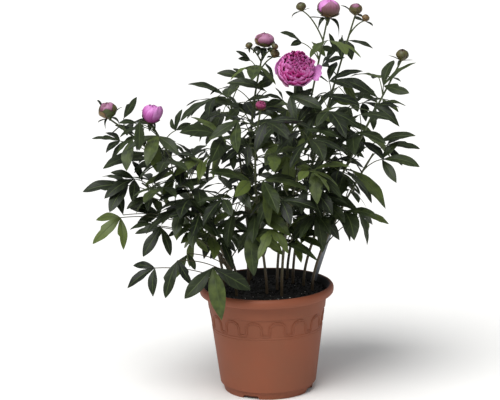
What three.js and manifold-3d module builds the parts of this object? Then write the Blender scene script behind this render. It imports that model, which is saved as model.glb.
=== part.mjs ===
// Potted peony: a leafy double-flowered plant with buds, in a terracotta-coloured plastic pot.
// Millimetres, +Z up. The origin is on the pot's axis at floor level, and -Y is the front.
import * as THREE from "three";
import { mergeVertices } from "three/addons/utils/BufferGeometryUtils.js";
import Module from "manifold-3d";

const wasm = await Module();
wasm.setup();

// Pot: radii and heights of its outer and inner faces
const RIM_R = 130;
const POT_H = 207;
const FOOT_R = 86;
const FOOT_TOP_R = 89.5;
const FOOT_H = 15.6;
const WALL_LOW_R = 93.4;
const WALL_TOP_R = 115.5;
const LIP_LOW_Z = POT_H - 17;
const WALL = 2.6;
const FLOOR_Z = 5;
const FRIEZE_LOW_Z = 127;
const FRIEZE_TOP_Z = 163;
const COLLAR_STEP = 1.2;
const POT_SIDES = 42;
const ARCHES = 15;
const ARCH_W = 30.5;
const ARCH_LOW_Z = 131.5;
const ARCH_TOP_Z = 157;
const RIBBON_W = 4.6;
const RIBBON_RISE = 0.9;
const RIBBON_SUNK = 1.6;
const FIRST_ARCH = 9.6;
const NOTCHES = 4;
const NOTCH_ARC = 24;
const NOTCH_H = 7;
const FIRST_NOTCH = -24;
const DRAINS = 8;
const DRAIN_R = 6;
const DRAIN_RING_R = 62;
const PAD_R = 24;

// Soil: its level at the wall, its crown, and the holes that the stalks stand in
const SOIL_EDGE_Z = 195;
const SOIL_CROWN = 4;
const SOIL_FLARE = 3.2;
const HOLE_FLOOR_Z = 152;
const FIT = 0.3;

// Label: a blank strip that leans to the right
const LABEL_W = 12;
const LABEL_T = 1;
const LABEL_FOOT = [82, 59, 160];
const LABEL_TOP = [130, 38, 313];

// Stalks: where each leaves the soil, the bend that it leans through, its tip where it
// carries no head, how many leaves fill it up, and the turn of the first of them
const STALK_R = 2.9;
const STALK_TIP_R = 1.7;
const STALK_FROM_Z = 200;
const STALKS = [
  { name: "cluster", root: [-35, 20], bend: [-35, 10, 525], fills: 5, turn: 100 },
  { name: "top_bud", root: [30, 15], bend: [70, 0, 470], fills: 5, turn: 200 },
  { name: "right_top", root: [52, 32], bend: [95, 40, 460], fills: 5, turn: 310 },
  { name: "bloom", root: [20, -15], bend: [55, -30, 475], fills: 4, turn: 20 },
  { name: "right_bud", root: [72, 10], bend: [145, 0, 415], fills: 5, turn: 250 },
  { name: "far_left", root: [-82, -8], bend: [-120, -20, 415], fills: 4, turn: 60 },
  { name: "left_pink", root: [-55, 2], bend: [-150, 10, 395], fills: 4, turn: 150 },
  { name: "small_red", root: [0, -42], bend: [-35, -80, 425], fills: 4, turn: 280 },
  {
    name: "left_mid", root: [-68, 30], bend: [-145, 40, 335],
    tip: [-235, 12, 408], fills: 5, turn: 35,
  },
  {
    name: "left_front", root: [-58, -48], bend: [-95, -90, 325],
    tip: [-130, -125, 375], fills: 4, turn: 190,
  },
  {
    name: "right_mid", root: [88, -16], bend: [135, -20, 345],
    tip: [205, -40, 465], fills: 5, turn: 330,
  },
  {
    name: "centre_front", root: [28, -58], bend: [35, -110, 365],
    tip: [65, -140, 460], fills: 5, turn: 110,
  },
  {
    name: "back_left", root: [-30, 68], bend: [-45, 90, 455],
    tip: [-65, 100, 560], fills: 6, turn: 240,
  },
  {
    name: "back_right", root: [42, 72], bend: [110, 110, 450],
    tip: [170, 118, 530], fills: 6, turn: 75,
  },
];

// Leaves that make the plant's outline and its lit front: the stalk's number, where the
// leaflets part, the end of the middle leaflet, and how many leaflets there are
const SHOWN_LEAVES = [
  [5, [-270, -35, 498], [-322, -45, 508], 3],
  [5, [-245, -20, 505], [-284, -15, 527], 2],
  [5, [-262, -30, 540], [-235, -38, 584], 1],
  [5, [-215, -12, 470], [-305, -30, 450], 1],
  [5, [-215, 20, 452], [-275, 30, 452], 2],
  [6, [-230, -60, 540], [-264, -75, 545], 1],
  [6, [-228, -80, 548], [-230, -90, 497], 1],
  [6, [-180, -70, 545], [-188, -100, 500], 1],
  [6, [-165, -30, 515], [-152, -20, 556], 3],
  [7, [-75, -100, 510], [-153, -150, 535], 3],
  [8, [-260, -10, 408], [-345, -30, 406], 3],
  [8, [-215, -20, 385], [-262, -45, 372], 3],
  [8, [-200, -30, 332], [-256, -60, 336], 3],
  [8, [-235, 20, 410], [-252, 35, 452], 1],
  [8, [-270, -30, 355], [-292, -20, 410], 1],
  [8, [-275, -30, 350], [-328, -50, 308], 3],
  [8, [-205, 0, 350], [-268, 15, 366], 3],
  [9, [-195, -100, 345], [-228, -130, 300], 3],
  [9, [-208, -110, 270], [-260, -120, 238], 3],
  [9, [-165, -130, 288], [-188, -150, 226], 2],
  [9, [-148, -105, 292], [-176, -125, 250], 2],
  [9, [-100, -135, 275], [-85, -168, 188], 3],
  [9, [-135, -60, 315], [-145, -64, 262], 3],
  [9, [-85, -70, 315], [-62, -92, 262], 3],
  [7, [-30, -110, 340], [-24, -138, 262], 3],
  [7, [-20, -95, 330], [30, -105, 292], 1],
  [11, [22, -125, 312], [3, -145, 270], 3],
  [11, [30, -130, 316], [94, -152, 290], 1],
  [4, [215, -30, 485], [284, -50, 502], 1],
  [10, [233, -10, 475], [296, -12, 470], 3],
  [10, [220, -50, 455], [290, -62, 445], 3],
  [10, [160, -60, 440], [224, -82, 372], 1],
  [10, [130, -70, 360], [156, -98, 312], 3],
  [10, [175, -30, 355], [192, -42, 292], 3],
  [10, [195, 0, 340], [242, 12, 320], 3],
  [4, [210, -20, 552], [254, -42, 518], 3],
  [4, [228, 20, 552], [274, 32, 545], 3],
  [4, [228, -10, 590], [289, -22, 638], 3],
  [4, [220, 30, 560], [150, 52, 606], 1],
  [2, [130, 20, 600], [196, 32, 620], 3],
  [13, [180, 70, 545], [160, 60, 592], 3],
  [1, [75, -5, 672], [34, -16, 696], 2],
  [1, [90, 0, 665], [114, -16, 640], 1],
  [2, [152, 20, 682], [149, -2, 640], 1],
  [2, [140, 30, 655], [128, 30, 692], 3],
  [2, [115, 40, 625], [158, 28, 641], 3],
  [0, [-22, 0, 642], [-47, 0, 676], 2],
  [0, [20, -10, 602], [-38, -20, 632], 3],
  [12, [-70, 90, 560], [-145, 80, 592], 2],
  [12, [-62, 110, 560], [-42, 132, 590], 1],
  [12, [-35, 60, 600], [-90, 60, 616], 3],
  [0, [-45, 40, 545], [-106, 20, 566], 3],
  [0, [15, 10, 580], [-60, 20, 600], 1],
  [3, [50, -60, 580], [108, -92, 563], 3],
  [3, [38, 12, 562], [0, 8, 594], 3],
  [3, [72, 8, 560], [66, 10, 606], 3],
  [7, [-28, -120, 432], [-102, -150, 460], 3],
  [7, [-5, -120, 432], [94, -150, 412], 3],
  [11, [18, -140, 411], [86, -165, 400], 3],
  [7, [-2, -130, 417], [5, -150, 357], 1],
  [7, [-28, -110, 500], [-80, -130, 470], 2],
  [3, [100, -60, 548], [76, -80, 500], 3],
  [6, [-115, -90, 467], [-166, -115, 447], 3],
];

// Crown: the outline that the other leaves fill, as height, left end and right end
const CROWN = [
  [265, -150, 110],
  [300, -220, 150],
  [350, -290, 205],
  [420, -325, 235],
  [480, -300, 280],
  [540, -205, 270],
  [590, -95, 250],
  [650, -60, 185],
  [705, 20, 130],
];
const CROWN_MID_Z = 435;
const CROWN_HALF_H = 262;
const CROWN_HALF_D = 235;

// Leaflet pattern by count: groups as turn in degrees, stalk length as a share of the leaf,
// and each blade's turn and length in the same terms
const PATTERNS = {
  1: [[0, 0, [[0, 1]]]],
  2: [[0, 0, [[0, 1], [50, 0.74]]]],
  3: [[0, 0, [[0, 1], [52, 0.84], [-52, 0.8]]]],
  5: [
    [0, 0.34, [[0, 0.66], [50, 0.54], [-50, 0.56]]],
    [60, 0, [[0, 0.6]]],
    [-60, 0, [[0, 0.58]]],
  ],
  7: [
    [0, 0.36, [[0, 0.64], [50, 0.52], [-50, 0.52]]],
    [58, 0.16, [[0, 0.54], [50, 0.44]]],
    [-58, 0.16, [[0, 0.54], [-50, 0.44]]],
  ],
};
const BLADE_WIDTH = 0.3;
const BLADE_ARCH = 0.07;
const BLADE_STATIONS = [[0.36, 0.93], [0.68, 0.93]];
const SMALL_BLADE = 60;
const SMALL_STATIONS = [[0.5, 1]];
const BLADE_KEEL = 1.1;
const PETIOLE_R = 1.15;
const PETIOLE_ROOT = [0.8, 0.9];
const PETIOLE_STEPS = 2;

// Clearances between the sample points of blades, petioles and heads, and how often a blade
// or a leaf is tried again with another draw
const BLADE_GAP = 8.6;
const OWN_GAP = 7;
const PETIOLE_GAP = 7.4;
const OWN_PETIOLE_GAP = 3;
const SISTER_GAP = 2.6;
const SISTER_START = 3;
const SAMPLE_STEPS = 11;
const SAMPLES_ACROSS = [-1, -0.5, 0, 0.5, 1];
const BLADE_TRIALS = 9;
const SHORTER_FROM = 5;
const SHORTER = 0.82;
const SHOWN_TRIALS = 16;
const SHOWN_SLOPES = [0.6, 0.4, 0.85, 0.2];
const SHOWN_SHIFT = [4, 14, 4];
const SHOWN_FACING = [0, -0.42, 0.85];
const SHOWN_SWAY = [0.5, 0, 0.3];

// Leaves of the fill: their run along the stalk, the spiral that they follow, their petioles'
// rise and length, their slope, and their leaflets and length up to a share of the stalk
const FILL_TRIALS = 30;
const FILL_FROM = 0.3;
const FILL_SPAN = 0.66;
const SPIRAL = 137.5;
const PETIOLE_RISE = 24;
const PETIOLE_LOW = 112;
const PETIOLE_HIGH = 50;
const SLOPE_LOW = -46;
const SLOPE_HIGH = -12;
const FILL_KINDS = [
  [0.5, 7, 138],
  [0.82, 5, 116],
  [1, 3, 74],
];
const DEG = Math.PI / 180;

const PLASTIC = material("#8b5440", 0.62);
const SOIL = material("#14120f", 0.95);
const GREY = material("#6a6d72", 0.5);
const LEAF = material("#33502a", 0.5);
const PETAL = material("#cf57a8", 0.6);

function material(color, roughness) {
  return new THREE.MeshStandardMaterial({ color, roughness, metalness: 0 });
}

// Vector helpers on plain triples
const add = (a, b) => [a[0] + b[0], a[1] + b[1], a[2] + b[2]];
const sub = (a, b) => [a[0] - b[0], a[1] - b[1], a[2] - b[2]];
const mul = (a, k) => [a[0] * k, a[1] * k, a[2] * k];
const dot = (a, b) => a[0] * b[0] + a[1] * b[1] + a[2] * b[2];
const cross = ([a, b, c], [d, e, f]) => [b * f - c * e, c * d - a * f, a * e - b * d];
const size = (a) => Math.sqrt(dot(a, a));
const unit = (a) => mul(a, 1 / size(a));
const mix = (a, b, t) => add(mul(a, 1 - t), mul(b, t));
const spin = (a, axis, deg) => {
  const c = Math.cos(deg * DEG);
  const s = Math.sin(deg * DEG);
  return add(add(mul(a, c), mul(cross(axis, a), s)), mul(axis, dot(axis, a) * (1 - c)));
};
const UP = [0, 0, 1];

// A repeatable number from 0 to 1 for leaf a and its feature b
function draw(a, b) {
  let h = Math.imul(a + 17, 0x9e3779b1) ^ Math.imul(b + 5, 0x85ebca6b);
  h = Math.imul(h ^ (h >>> 15), 0x2c1b3c6d);
  h = Math.imul(h ^ (h >>> 12), 0x297a2d39);
  return ((h ^ (h >>> 15)) >>> 0) / 4294967296;
}
const swing = (a, b, reach) => (2 * draw(a, b) - 1) * reach;
const swing3 = (a, b, [x, y, z]) => [swing(a, b, x), swing(a, b + 30, y), swing(a, b + 60, z)];

// Solids: a closed geometry as a solid, a list of solids joined, and a solid as a named mesh
function toSolid(geometry) {
  let g = geometry.clone();
  g.deleteAttribute("normal");
  g.deleteAttribute("uv");
  g = mergeVertices(g, 1e-3);
  const p = g.attributes.position.array;
  const index = [];
  let volume = 0;
  for (let i = 0; i < g.index.count; i += 3) {
    const [a, b, c] = [g.index.array[i], g.index.array[i + 1], g.index.array[i + 2]];
    if (a === b || b === c || c === a) continue;
    index.push(a, b, c);
    const [u, v, w] = [a, b, c].map((k) => [p[3 * k], p[3 * k + 1], p[3 * k + 2]]);
    volume += dot(u, cross(v, w));
  }
  if (volume < 0) index.reverse();
  const mesh = new wasm.Mesh({ numProp: 3, vertProperties: p, triVerts: new Uint32Array(index) });
  return new wasm.Manifold(mesh);
}

function join(solids) {
  return wasm.Manifold.union(solids);
}

// The one outer body of a joined solid: hollows that blades close off are filled
function outerBody(solid) {
  return solid.decompose().reduce((a, b) => (b.volume() > a.volume() ? b : a));
}

function namedMesh(name, solid, paint) {
  const made = outerBody(solid).getMesh();
  const g = new THREE.BufferGeometry();
  g.setAttribute("position", new THREE.BufferAttribute(new Float32Array(made.vertProperties), 3));
  g.setIndex(new THREE.BufferAttribute(new Uint32Array(made.triVerts), 1));
  const flat = g.toNonIndexed();
  flat.computeVertexNormals();
  const mesh = new THREE.Mesh(flat, paint);
  mesh.name = name;
  return mesh;
}

// Faces between two sections, over a first section, and from a last section to a tip
function addTube(skin, a, b) {
  const k = a.length;
  for (let j = 0; j < k; j++) {
    const n = (j + 1) % k;
    if (j % 2 === 0) skin.push([a[n], a[j], b[n]], [a[j], b[j], b[n]]);
    else skin.push([a[n], a[j], b[j]], [a[n], b[j], b[n]]);
  }
}

function addCap(skin, section) {
  for (let i = 1; i + 1 < section.length; i++) skin.push([section[0], section[i], section[i + 1]]);
}

function addTip(skin, section, tip) {
  section.forEach((point, j) => skin.push([section[(j + 1) % section.length], point, tip]));
}

function skinSolid(skin) {
  const g = new THREE.BufferGeometry();
  g.setAttribute("position", new THREE.Float32BufferAttribute(skin.flat(2), 3));
  return toSolid(g);
}

// A skin through cross-sections with the same number of points; a last one of one point is a tip
function loft(sections) {
  const skin = [];
  addCap(skin, sections[0]);
  for (let i = 0; i + 1 < sections.length; i++) {
    if (sections[i + 1].length > 1) addTube(skin, sections[i], sections[i + 1]);
    else addTip(skin, sections[i], sections[i + 1][0]);
  }
  const end = sections[sections.length - 1];
  if (end.length > 1) addCap(skin, [...end].reverse());
  return skinSolid(skin);
}

function ring(centre, u, v, radius, sides) {
  const points = [];
  for (let i = 0; i < sides; i++) {
    const a = (2 * Math.PI * i) / sides;
    points.push(add(centre, add(mul(u, radius * Math.cos(a)), mul(v, radius * Math.sin(a)))));
  }
  return points;
}

function revolve(profile, sides) {
  const g = new THREE.LatheGeometry(profile.map(([r, z]) => new THREE.Vector2(r, z)), sides);
  g.rotateX(Math.PI / 2);
  return toSolid(g);
}

// Pot: the outer wall's radius at a height, between the foot and the lip
function wallRadius(z) {
  const run = (z - FOOT_H) / (LIP_LOW_Z - FOOT_H);
  return WALL_LOW_R + (WALL_TOP_R - WALL_LOW_R) * run;
}

function onWall(degrees, z, rise) {
  const r = wallRadius(z) + rise;
  return [r * Math.sin(degrees * DEG), -r * Math.cos(degrees * DEG), z];
}

// Frieze: one raised ribbon that runs over round arches and down through a small U between them
function ribbonPath() {
  const pitch = 360 / ARCHES;
  const across = ARCH_W / 2 / (wallRadius(ARCH_TOP_Z) * DEG);
  const foot = pitch / 2 - across;
  const path = [];
  for (let i = 0; i < ARCHES; i++) {
    const mid = FIRST_ARCH + pitch * i;
    const low = ARCH_LOW_Z + 4;
    const spring = ARCH_TOP_Z - 11;
    path.push([mid - across, low]);
    for (const turn of [158, 90, 22]) {
      path.push([mid + across * Math.cos(turn * DEG), spring + 11 * Math.sin(turn * DEG)]);
    }
    path.push([mid + across, low], [mid + across + foot, ARCH_LOW_Z]);
  }
  return path;
}

function ribbon() {
  const path = ribbonPath();
  const n = path.length;
  const mmPerDegree = wallRadius(ARCH_TOP_Z) * DEG;
  const sections = [];
  for (let i = 0; i < n; i++) {
    const before = path[(i + n - 1) % n];
    const after = path[(i + 1) % n];
    const wrap = (d) => ((((d + 180) % 360) + 360) % 360) - 180;
    const inward = unit([wrap(path[i][0] - before[0]) * mmPerDegree, path[i][1] - before[1], 0]);
    const onward = unit([wrap(after[0] - path[i][0]) * mmPerDegree, after[1] - path[i][1], 0]);
    const run = unit(add(inward, onward));
    const spread = RIBBON_W / 2 / Math.max(0.75, dot(run, onward));
    const side = [(-run[1] * spread) / mmPerDegree, run[0] * spread];
    const corner = (k, rise) => onWall(path[i][0] + k * side[0], path[i][1] + k * side[1], rise);
    sections.push([corner(1, -RIBBON_SUNK), corner(0, RIBBON_RISE), corner(-1, -RIBBON_SUNK)]);
  }
  const skin = [];
  for (let i = 0; i < n; i++) {
    const a = sections[i];
    const b = sections[(i + 1) % n];
    addTube(skin, a, b);
  }
  return skinSolid(skin);
}

function pot() {
  const innerLow = WALL_LOW_R - WALL;
  const innerTop = RIM_R - 11;
  const body = revolve(
    [
      [0, 0],
      [PAD_R, 0],
      [PAD_R + 2, 2.4],
      [FOOT_R - 5, 2.4],
      [FOOT_R - 4, 0],
      [FOOT_R, 0],
      [FOOT_TOP_R, FOOT_H],
      [WALL_LOW_R, FOOT_H],
      [wallRadius(FRIEZE_LOW_Z), FRIEZE_LOW_Z],
      [wallRadius(FRIEZE_LOW_Z) - 0.8, FRIEZE_LOW_Z + 0.8],
      [wallRadius(FRIEZE_TOP_Z) - 0.8, FRIEZE_TOP_Z],
      [wallRadius(FRIEZE_TOP_Z) + COLLAR_STEP, FRIEZE_TOP_Z + 1],
      [WALL_TOP_R + COLLAR_STEP, LIP_LOW_Z],
      [RIM_R - 2.4, LIP_LOW_Z],
      [RIM_R, POT_H - 7],
      [RIM_R - 2.2, POT_H - 1.6],
      [RIM_R - 5.5, POT_H],
      [RIM_R - 9, POT_H - 1.6],
      [innerTop, POT_H - 7],
      [WALL_TOP_R - WALL, LIP_LOW_Z - 4],
      [innerLow, FOOT_H + 2],
      [FOOT_TOP_R - WALL - 3, FLOOR_Z],
      [0, FLOOR_Z],
    ],
    POT_SIDES,
  );
  const cutters = [];
  for (let i = 0; i < NOTCHES; i++) cutters.push(notch(FIRST_NOTCH + (360 / NOTCHES) * i));
  for (let i = 0; i < DRAINS; i++) {
    const a = ((i + 0.5) * 2 * Math.PI) / DRAINS;
    const hole = new THREE.CylinderGeometry(DRAIN_R, DRAIN_R, 4 * FLOOR_Z, 8);
    hole.rotateX(Math.PI / 2);
    hole.translate(DRAIN_RING_R * Math.cos(a), DRAIN_RING_R * Math.sin(a), 0);
    cutters.push(toSolid(hole));
  }
  return body.add(ribbon()).subtract(join(cutters));
}

// Notch in the foot ring: a wedge with slanted ends
function notch(degrees) {
  const sections = [-1, 1].map((end) => {
    const low = (degrees + (end * NOTCH_ARC) / 2) * DEG;
    const high = (degrees + end * (NOTCH_ARC / 2 - 3)) * DEG;
    const at = (a, r, z) => [r * Math.sin(a), -r * Math.cos(a), z];
    const [inner, outer] = [FOOT_R - 6, FOOT_R + 9];
    return [
      at(low, inner, -1),
      at(low, outer, -1),
      at(high, outer, NOTCH_H),
      at(high, inner, NOTCH_H),
    ];
  });
  return loft(sections);
}

// Soil: a crowned plug just inside the wall, resting over the floor, with the stalks' holes
function soil(stalks) {
  const inner = (z) => {
    const run = (z - FOOT_H - 2) / (LIP_LOW_Z - 4 - FOOT_H - 2);
    return WALL_LOW_R - WALL + (WALL_TOP_R - WALL_LOW_R) * run - 2 * FIT;
  };
  const plug = revolve(
    [
      [0, FLOOR_Z + FIT],
      [FOOT_TOP_R - WALL - 4, FLOOR_Z + FIT],
      [inner(FOOT_H + 2), FOOT_H + 2.4],
      [inner(LIP_LOW_Z - 4), LIP_LOW_Z - 4],
      [inner(LIP_LOW_Z - 4) + SOIL_FLARE, SOIL_EDGE_Z],
      [96, SOIL_EDGE_Z + 1.2],
      [52, SOIL_EDGE_Z + SOIL_CROWN - 1],
      [0, SOIL_EDGE_Z + SOIL_CROWN],
    ],
    POT_SIDES / 2,
  );
  const holes = stalks.map(({ root }) => {
    const hole = new THREE.CylinderGeometry(STALK_R + 1, STALK_R + 1, 80, 6);
    hole.rotateX(Math.PI / 2);
    hole.translate(root[0], root[1], HOLE_FLOOR_Z + 40);
    return toSolid(hole);
  });
  holes.push(strip(LABEL_FOOT, LABEL_TOP, LABEL_W + 2 * FIT, LABEL_T + 2 * FIT, FIT));
  return plug.subtract(join(holes));
}

// Label: a flat strip with a pointed foot
function strip(foot, top, width, thickness, over) {
  const run = unit(sub(top, foot));
  const side = unit([1, 0.35, 0]);
  const flat = unit(sub(side, mul(run, dot(side, run))));
  const out = cross(run, flat);
  const section = (at, w) => {
    const c = add(foot, mul(run, at));
    const [a, b] = [mul(flat, w / 2), mul(out, thickness / 2)];
    return [add(add(c, a), b), sub(add(c, b), a), sub(sub(c, a), b), sub(add(c, a), b)];
  };
  const length = size(sub(top, foot));
  return loft([section(-over, width / 3), section(12, width), section(length, width)]);
}

// Stalk: a cubic through its bend, upright where it leaves the soil
function stalkPoint(stalk, t) {
  const a = [stalk.root[0], stalk.root[1], STALK_FROM_Z];
  const b = add(a, [0, 0, 0.35 * size(sub(stalk.bend, a))]);
  const u = 1 - t;
  const [ka, kb, kc, kd] = [u * u * u, 3 * u * u * t, 3 * u * t * t, t * t * t];
  return [0, 1, 2].map((i) => ka * a[i] + kb * b[i] + kc * stalk.bend[i] + kd * stalk.tip[i]);
}

function stalkSolid(stalk) {
  const steps = 7;
  const sections = [];
  const level = (centre, along, radius) => {
    const u = unit(cross([0, 1, 0], along));
    sections.push(ring(centre, u, cross(along, u), radius, 5));
  };
  level([stalk.root[0], stalk.root[1], HOLE_FLOOR_Z + FIT], UP, STALK_R);
  for (let i = 0; i <= steps; i++) {
    const t = i / steps;
    const along = alongPath((k) => stalkPoint(stalk, k), t);
    level(stalkPoint(stalk, t), along, STALK_R + (STALK_TIP_R - STALK_R) * t);
  }
  return loft(sections);
}

// The direction of a path at t, from its points just before and after
function alongPath(pointAt, t) {
  return unit(sub(pointAt(t + 0.01), pointAt(t - 0.01)));
}

// Petiole or side shoot: a thin three-sided tube from one point to another, arched upwards
function petiolePoint(from, to, t) {
  const run = sub(to, from);
  const mid = add(from, [0.45 * run[0], 0.45 * run[1], 0.72 * run[2] + 0.06 * size(run)]);
  const u = 1 - t;
  return [0, 1, 2].map((i) => u * u * from[i] + 2 * u * t * mid[i] + t * t * to[i]);
}

function petioleSolid(from, to, steps, radius) {
  const run = unit(sub(to, from));
  const side = Math.abs(run[2]) > 0.97 ? [1, 0, 0] : unit(cross(run, UP));
  const sections = [];
  for (let i = 0; i <= steps; i++) {
    const t = i / steps;
    const along = alongPath((k) => petiolePoint(from, to, k), t);
    const v = cross(unit(sub(side, mul(along, dot(side, along)))), along);
    sections.push(ring(petiolePoint(from, to, t), cross(along, v), v, radius * (1.15 - 0.3 * t), 3));
  }
  return loft(sections);
}

// Blade: a leaflet from its base to its tip, arched, with a keel under the midrib
function bladePoint(blade, s, across) {
  const run = sub(blade.tip, blade.base);
  const rise = 4 * BLADE_ARCH * size(run) * s * (1 - s);
  const w = across * bladeHalfWidth(blade, s);
  return add(add(blade.base, mul(run, s)), add(mul(blade.face, rise), mul(blade.side, w)));
}

function bladeHalfWidth(blade, s) {
  return blade.half * Math.pow(Math.sin(Math.PI * Math.pow(s, 1.08)), 0.95);
}

function bladeSections(blade) {
  const stations = size(sub(blade.tip, blade.base)) < SMALL_BLADE ? SMALL_STATIONS : BLADE_STATIONS;
  return stations.map(([s, share]) => {
    const c = add(bladePoint(blade, s, 0), mul(blade.face, 0.2));
    return strap(c, blade.side, blade.face, share * blade.half, BLADE_KEEL);
  });
}

// A three-cornered section: its left and right edges and the keel under them
function strap(centre, side, face, half, keel) {
  return [add(centre, mul(side, half)), sub(centre, mul(side, half)), sub(centre, mul(face, keel))];
}

// Leaf: one closed skin that runs along the petiole, parts at its forks and ends in the blades
function leafSolid(leaf) {
  const skin = [];
  const side = unit(cross(leaf.face, leaf.axis));
  let last = null;
  for (let i = 0; i < PETIOLE_STEPS; i++) {
    const t = i / PETIOLE_STEPS;
    const along = alongPath((k) => petiolePoint(leaf.from, leaf.hub, k), t);
    const across = unit(sub(side, mul(along, dot(side, along))));
    const centre = petiolePoint(leaf.from, leaf.hub, t);
    const [half, keel] = i === 0 ? PETIOLE_ROOT : [PETIOLE_R, 1.6 * PETIOLE_R];
    const next = strap(centre, across, cross(along, across), half, keel);
    if (last) addTube(skin, last, next);
    else addCap(skin, next);
    last = next;
  }
  const end = strap(leaf.hub, side, leaf.face, PETIOLE_R, 1.5 * PETIOLE_R);
  addTube(skin, last, end);
  addFork(skin, end, leaf.hub, leaf.axis, leaf.face, leaf.children);
  return skinSolid(skin);
}

function addFork(skin, end, hub, axis, face, children) {
  const edges = [end[0]];
  for (let i = 0; i + 1 < children.length; i++) {
    const between = (children[i].turn + children[i + 1].turn) / 2;
    edges.push(add(hub, mul(spin(axis, face, between), 1.9 * PETIOLE_R)));
  }
  edges.push(end[1]);
  for (let i = 1; i + 1 < edges.length; i++) skin.push([edges[0], edges[i], edges[i + 1]]);
  children.forEach((child, i) => {
    let last = [edges[i], edges[i + 1], end[2]];
    if (child.blade) {
      for (const next of bladeSections(child.blade)) {
        addTube(skin, last, next);
        last = next;
      }
      addTip(skin, last, child.blade.tip);
    } else {
      const side = unit(cross(face, child.axis));
      const next = strap(child.fork, side, face, 0.85 * PETIOLE_R, 1.4 * PETIOLE_R);
      addTube(skin, last, next);
      addFork(skin, next, child.fork, child.axis, face, child.children);
    }
  });
}

function bladeSamples(blade) {
  const points = [];
  for (let i = 1; i <= SAMPLE_STEPS; i++) {
    for (const across of SAMPLES_ACROSS) points.push(bladePoint(blade, i / SAMPLE_STEPS, across));
  }
  return points;
}

// Space already taken: sample points, their owner, and the radius that each point stands for
const taken = [];
const HEADS = -1;

function bounding(points) {
  const centre = mul(points.reduce(add, [0, 0, 0]), 1 / points.length);
  const reach = Math.max(...points.map((p) => size(sub(p, centre))));
  return { centre, reach };
}

function take(points, owner, radius, stalk = false) {
  taken.push({ points, owner, radius, stalk, ...bounding(points) });
}

function isFree(points, owner, onPetiole) {
  const { centre, reach } = bounding(points);
  for (const p of points) {
    if (p[2] < POT_H + 8 && Math.hypot(p[0], p[1]) < RIM_R + 9) return false;
  }
  for (const other of taken) {
    const own = other.owner === owner;
    if (own && other.stalk && onPetiole) continue;
    const beside = onPetiole ? (own ? OWN_PETIOLE_GAP : PETIOLE_GAP) : own ? OWN_GAP : BLADE_GAP;
    const gap = beside + other.radius;
    if (size(sub(centre, other.centre)) > reach + other.reach + gap) continue;
    for (const p of points) {
      for (const q of other.points) {
        const [x, y, z] = [p[0] - q[0], p[1] - q[1], p[2] - q[2]];
        if (x * x + y * y + z * z < gap * gap) return false;
      }
    }
  }
  return true;
}

function inCrown(p) {
  const [x, y, z] = p;
  if (z < CROWN[0][0] || z > CROWN[CROWN.length - 1][0]) return false;
  const depth = CROWN_HALF_D * Math.sqrt(Math.max(0, 1 - ((z - CROWN_MID_Z) / CROWN_HALF_H) ** 2));
  if (Math.abs(y) > depth) return false;
  for (let i = 0; i + 1 < CROWN.length; i++) {
    const [a, b] = [CROWN[i], CROWN[i + 1]];
    if (z > b[0]) continue;
    const t = (z - a[0]) / (b[0] - a[0]);
    const squeeze = 1 - 0.35 * (y / CROWN_HALF_D) ** 2;
    return x > (a[1] + (b[1] - a[1]) * t) * squeeze && x < (a[2] + (b[2] - a[2]) * t) * squeeze;
  }
  return false;
}

// Leaf: its blades and forks for a hub, an end point and a count. Each blade takes the first
// of a few dips and lengths that is free, or is left out.
function leafParts(id, owner, hub, end, count, facing) {
  const run = sub(end, hub);
  const length = size(run);
  const axis = unit(run);
  const face = unit(sub(facing, mul(axis, dot(facing, axis))));
  const children = [];
  const blades = [];
  let wanted = 0;
  for (const [groupTurn, share, list] of PATTERNS[count]) {
    const groupAxis = spin(axis, face, groupTurn);
    const fork = add(hub, mul(groupAxis, share * length));
    const grown = [];
    const stalklet = share > 0 ? [0.25, 0.5, 0.75, 1].map((t) => mix(hub, fork, t)) : [];
    if (stalklet.length && !isFree(stalklet, owner, true)) continue;
    for (const [turn, portion] of list) {
      wanted += 1;
      const plan = { id, owner, key: 100 + wanted * 12, fork, face, groupAxis, turn };
      plan.reach = portion * length;
      plan.total = groupTurn + turn;
      const blade = freeBlade(plan, blades);
      if (!blade) continue;
      blades.push(blade);
      grown.push({ turn: share > 0 ? turn : plan.total, blade });
    }
    if (share === 0) {
      children.push(...grown);
    } else if (grown.length) {
      children.push({ turn: groupTurn, axis: groupAxis, fork, stalklet, children: leftToRight(grown) });
    }
  }
  return { axis, face, blades, children: leftToRight(children), wanted };
}

function leftToRight(children) {
  return [...children].sort((a, b) => b.turn - a.turn);
}

function freeBlade(plan, sisters) {
  const { id, owner, key, fork, face, groupAxis, turn, total } = plan;
  for (let trial = 0; trial < BLADE_TRIALS; trial++) {
    const sway = trial === 0 ? 0 : swing(id, key + trial, 5);
    const droop = Math.abs(total) > 1 ? 9 + swing(id, key, 9) : 0;
    const dip = droop + (trial === 0 ? 0 : swing(id, key + 400 + trial, 8 + 4 * trial));
    const reach = plan.reach * (trial < SHORTER_FROM ? 1 : SHORTER);
    const heading = spin(groupAxis, face, turn + sway);
    const side = unit(cross(face, heading));
    const fall = spin(heading, side, dip);
    const twist = swing(id, key + 800, 14) - 8 * Math.sign(total);
    const bladeFace = spin(spin(face, side, dip), fall, twist);
    const width = BLADE_WIDTH * (0.92 + 0.2 * draw(id, key + 900));
    const blade = {
      base: fork,
      tip: add(fork, mul(fall, reach)),
      face: bladeFace,
      side: unit(cross(bladeFace, fall)),
      half: (width * reach) / 2,
    };
    const points = bladeSamples(blade);
    const apart = sisters.every((sister) => isApart(points, bladeSamples(sister)));
    if (apart && isFree(points, owner, false)) return blade;
  }
  return null;
}

// Sister blades part at their fork, so only their outer two thirds have to keep apart
function isApart(points, others) {
  const skip = SAMPLES_ACROSS.length * SISTER_START;
  for (const p of points.slice(skip)) {
    for (const q of others.slice(skip)) {
      if (size(sub(p, q)) < SISTER_GAP) return false;
    }
  }
  return true;
}

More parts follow.
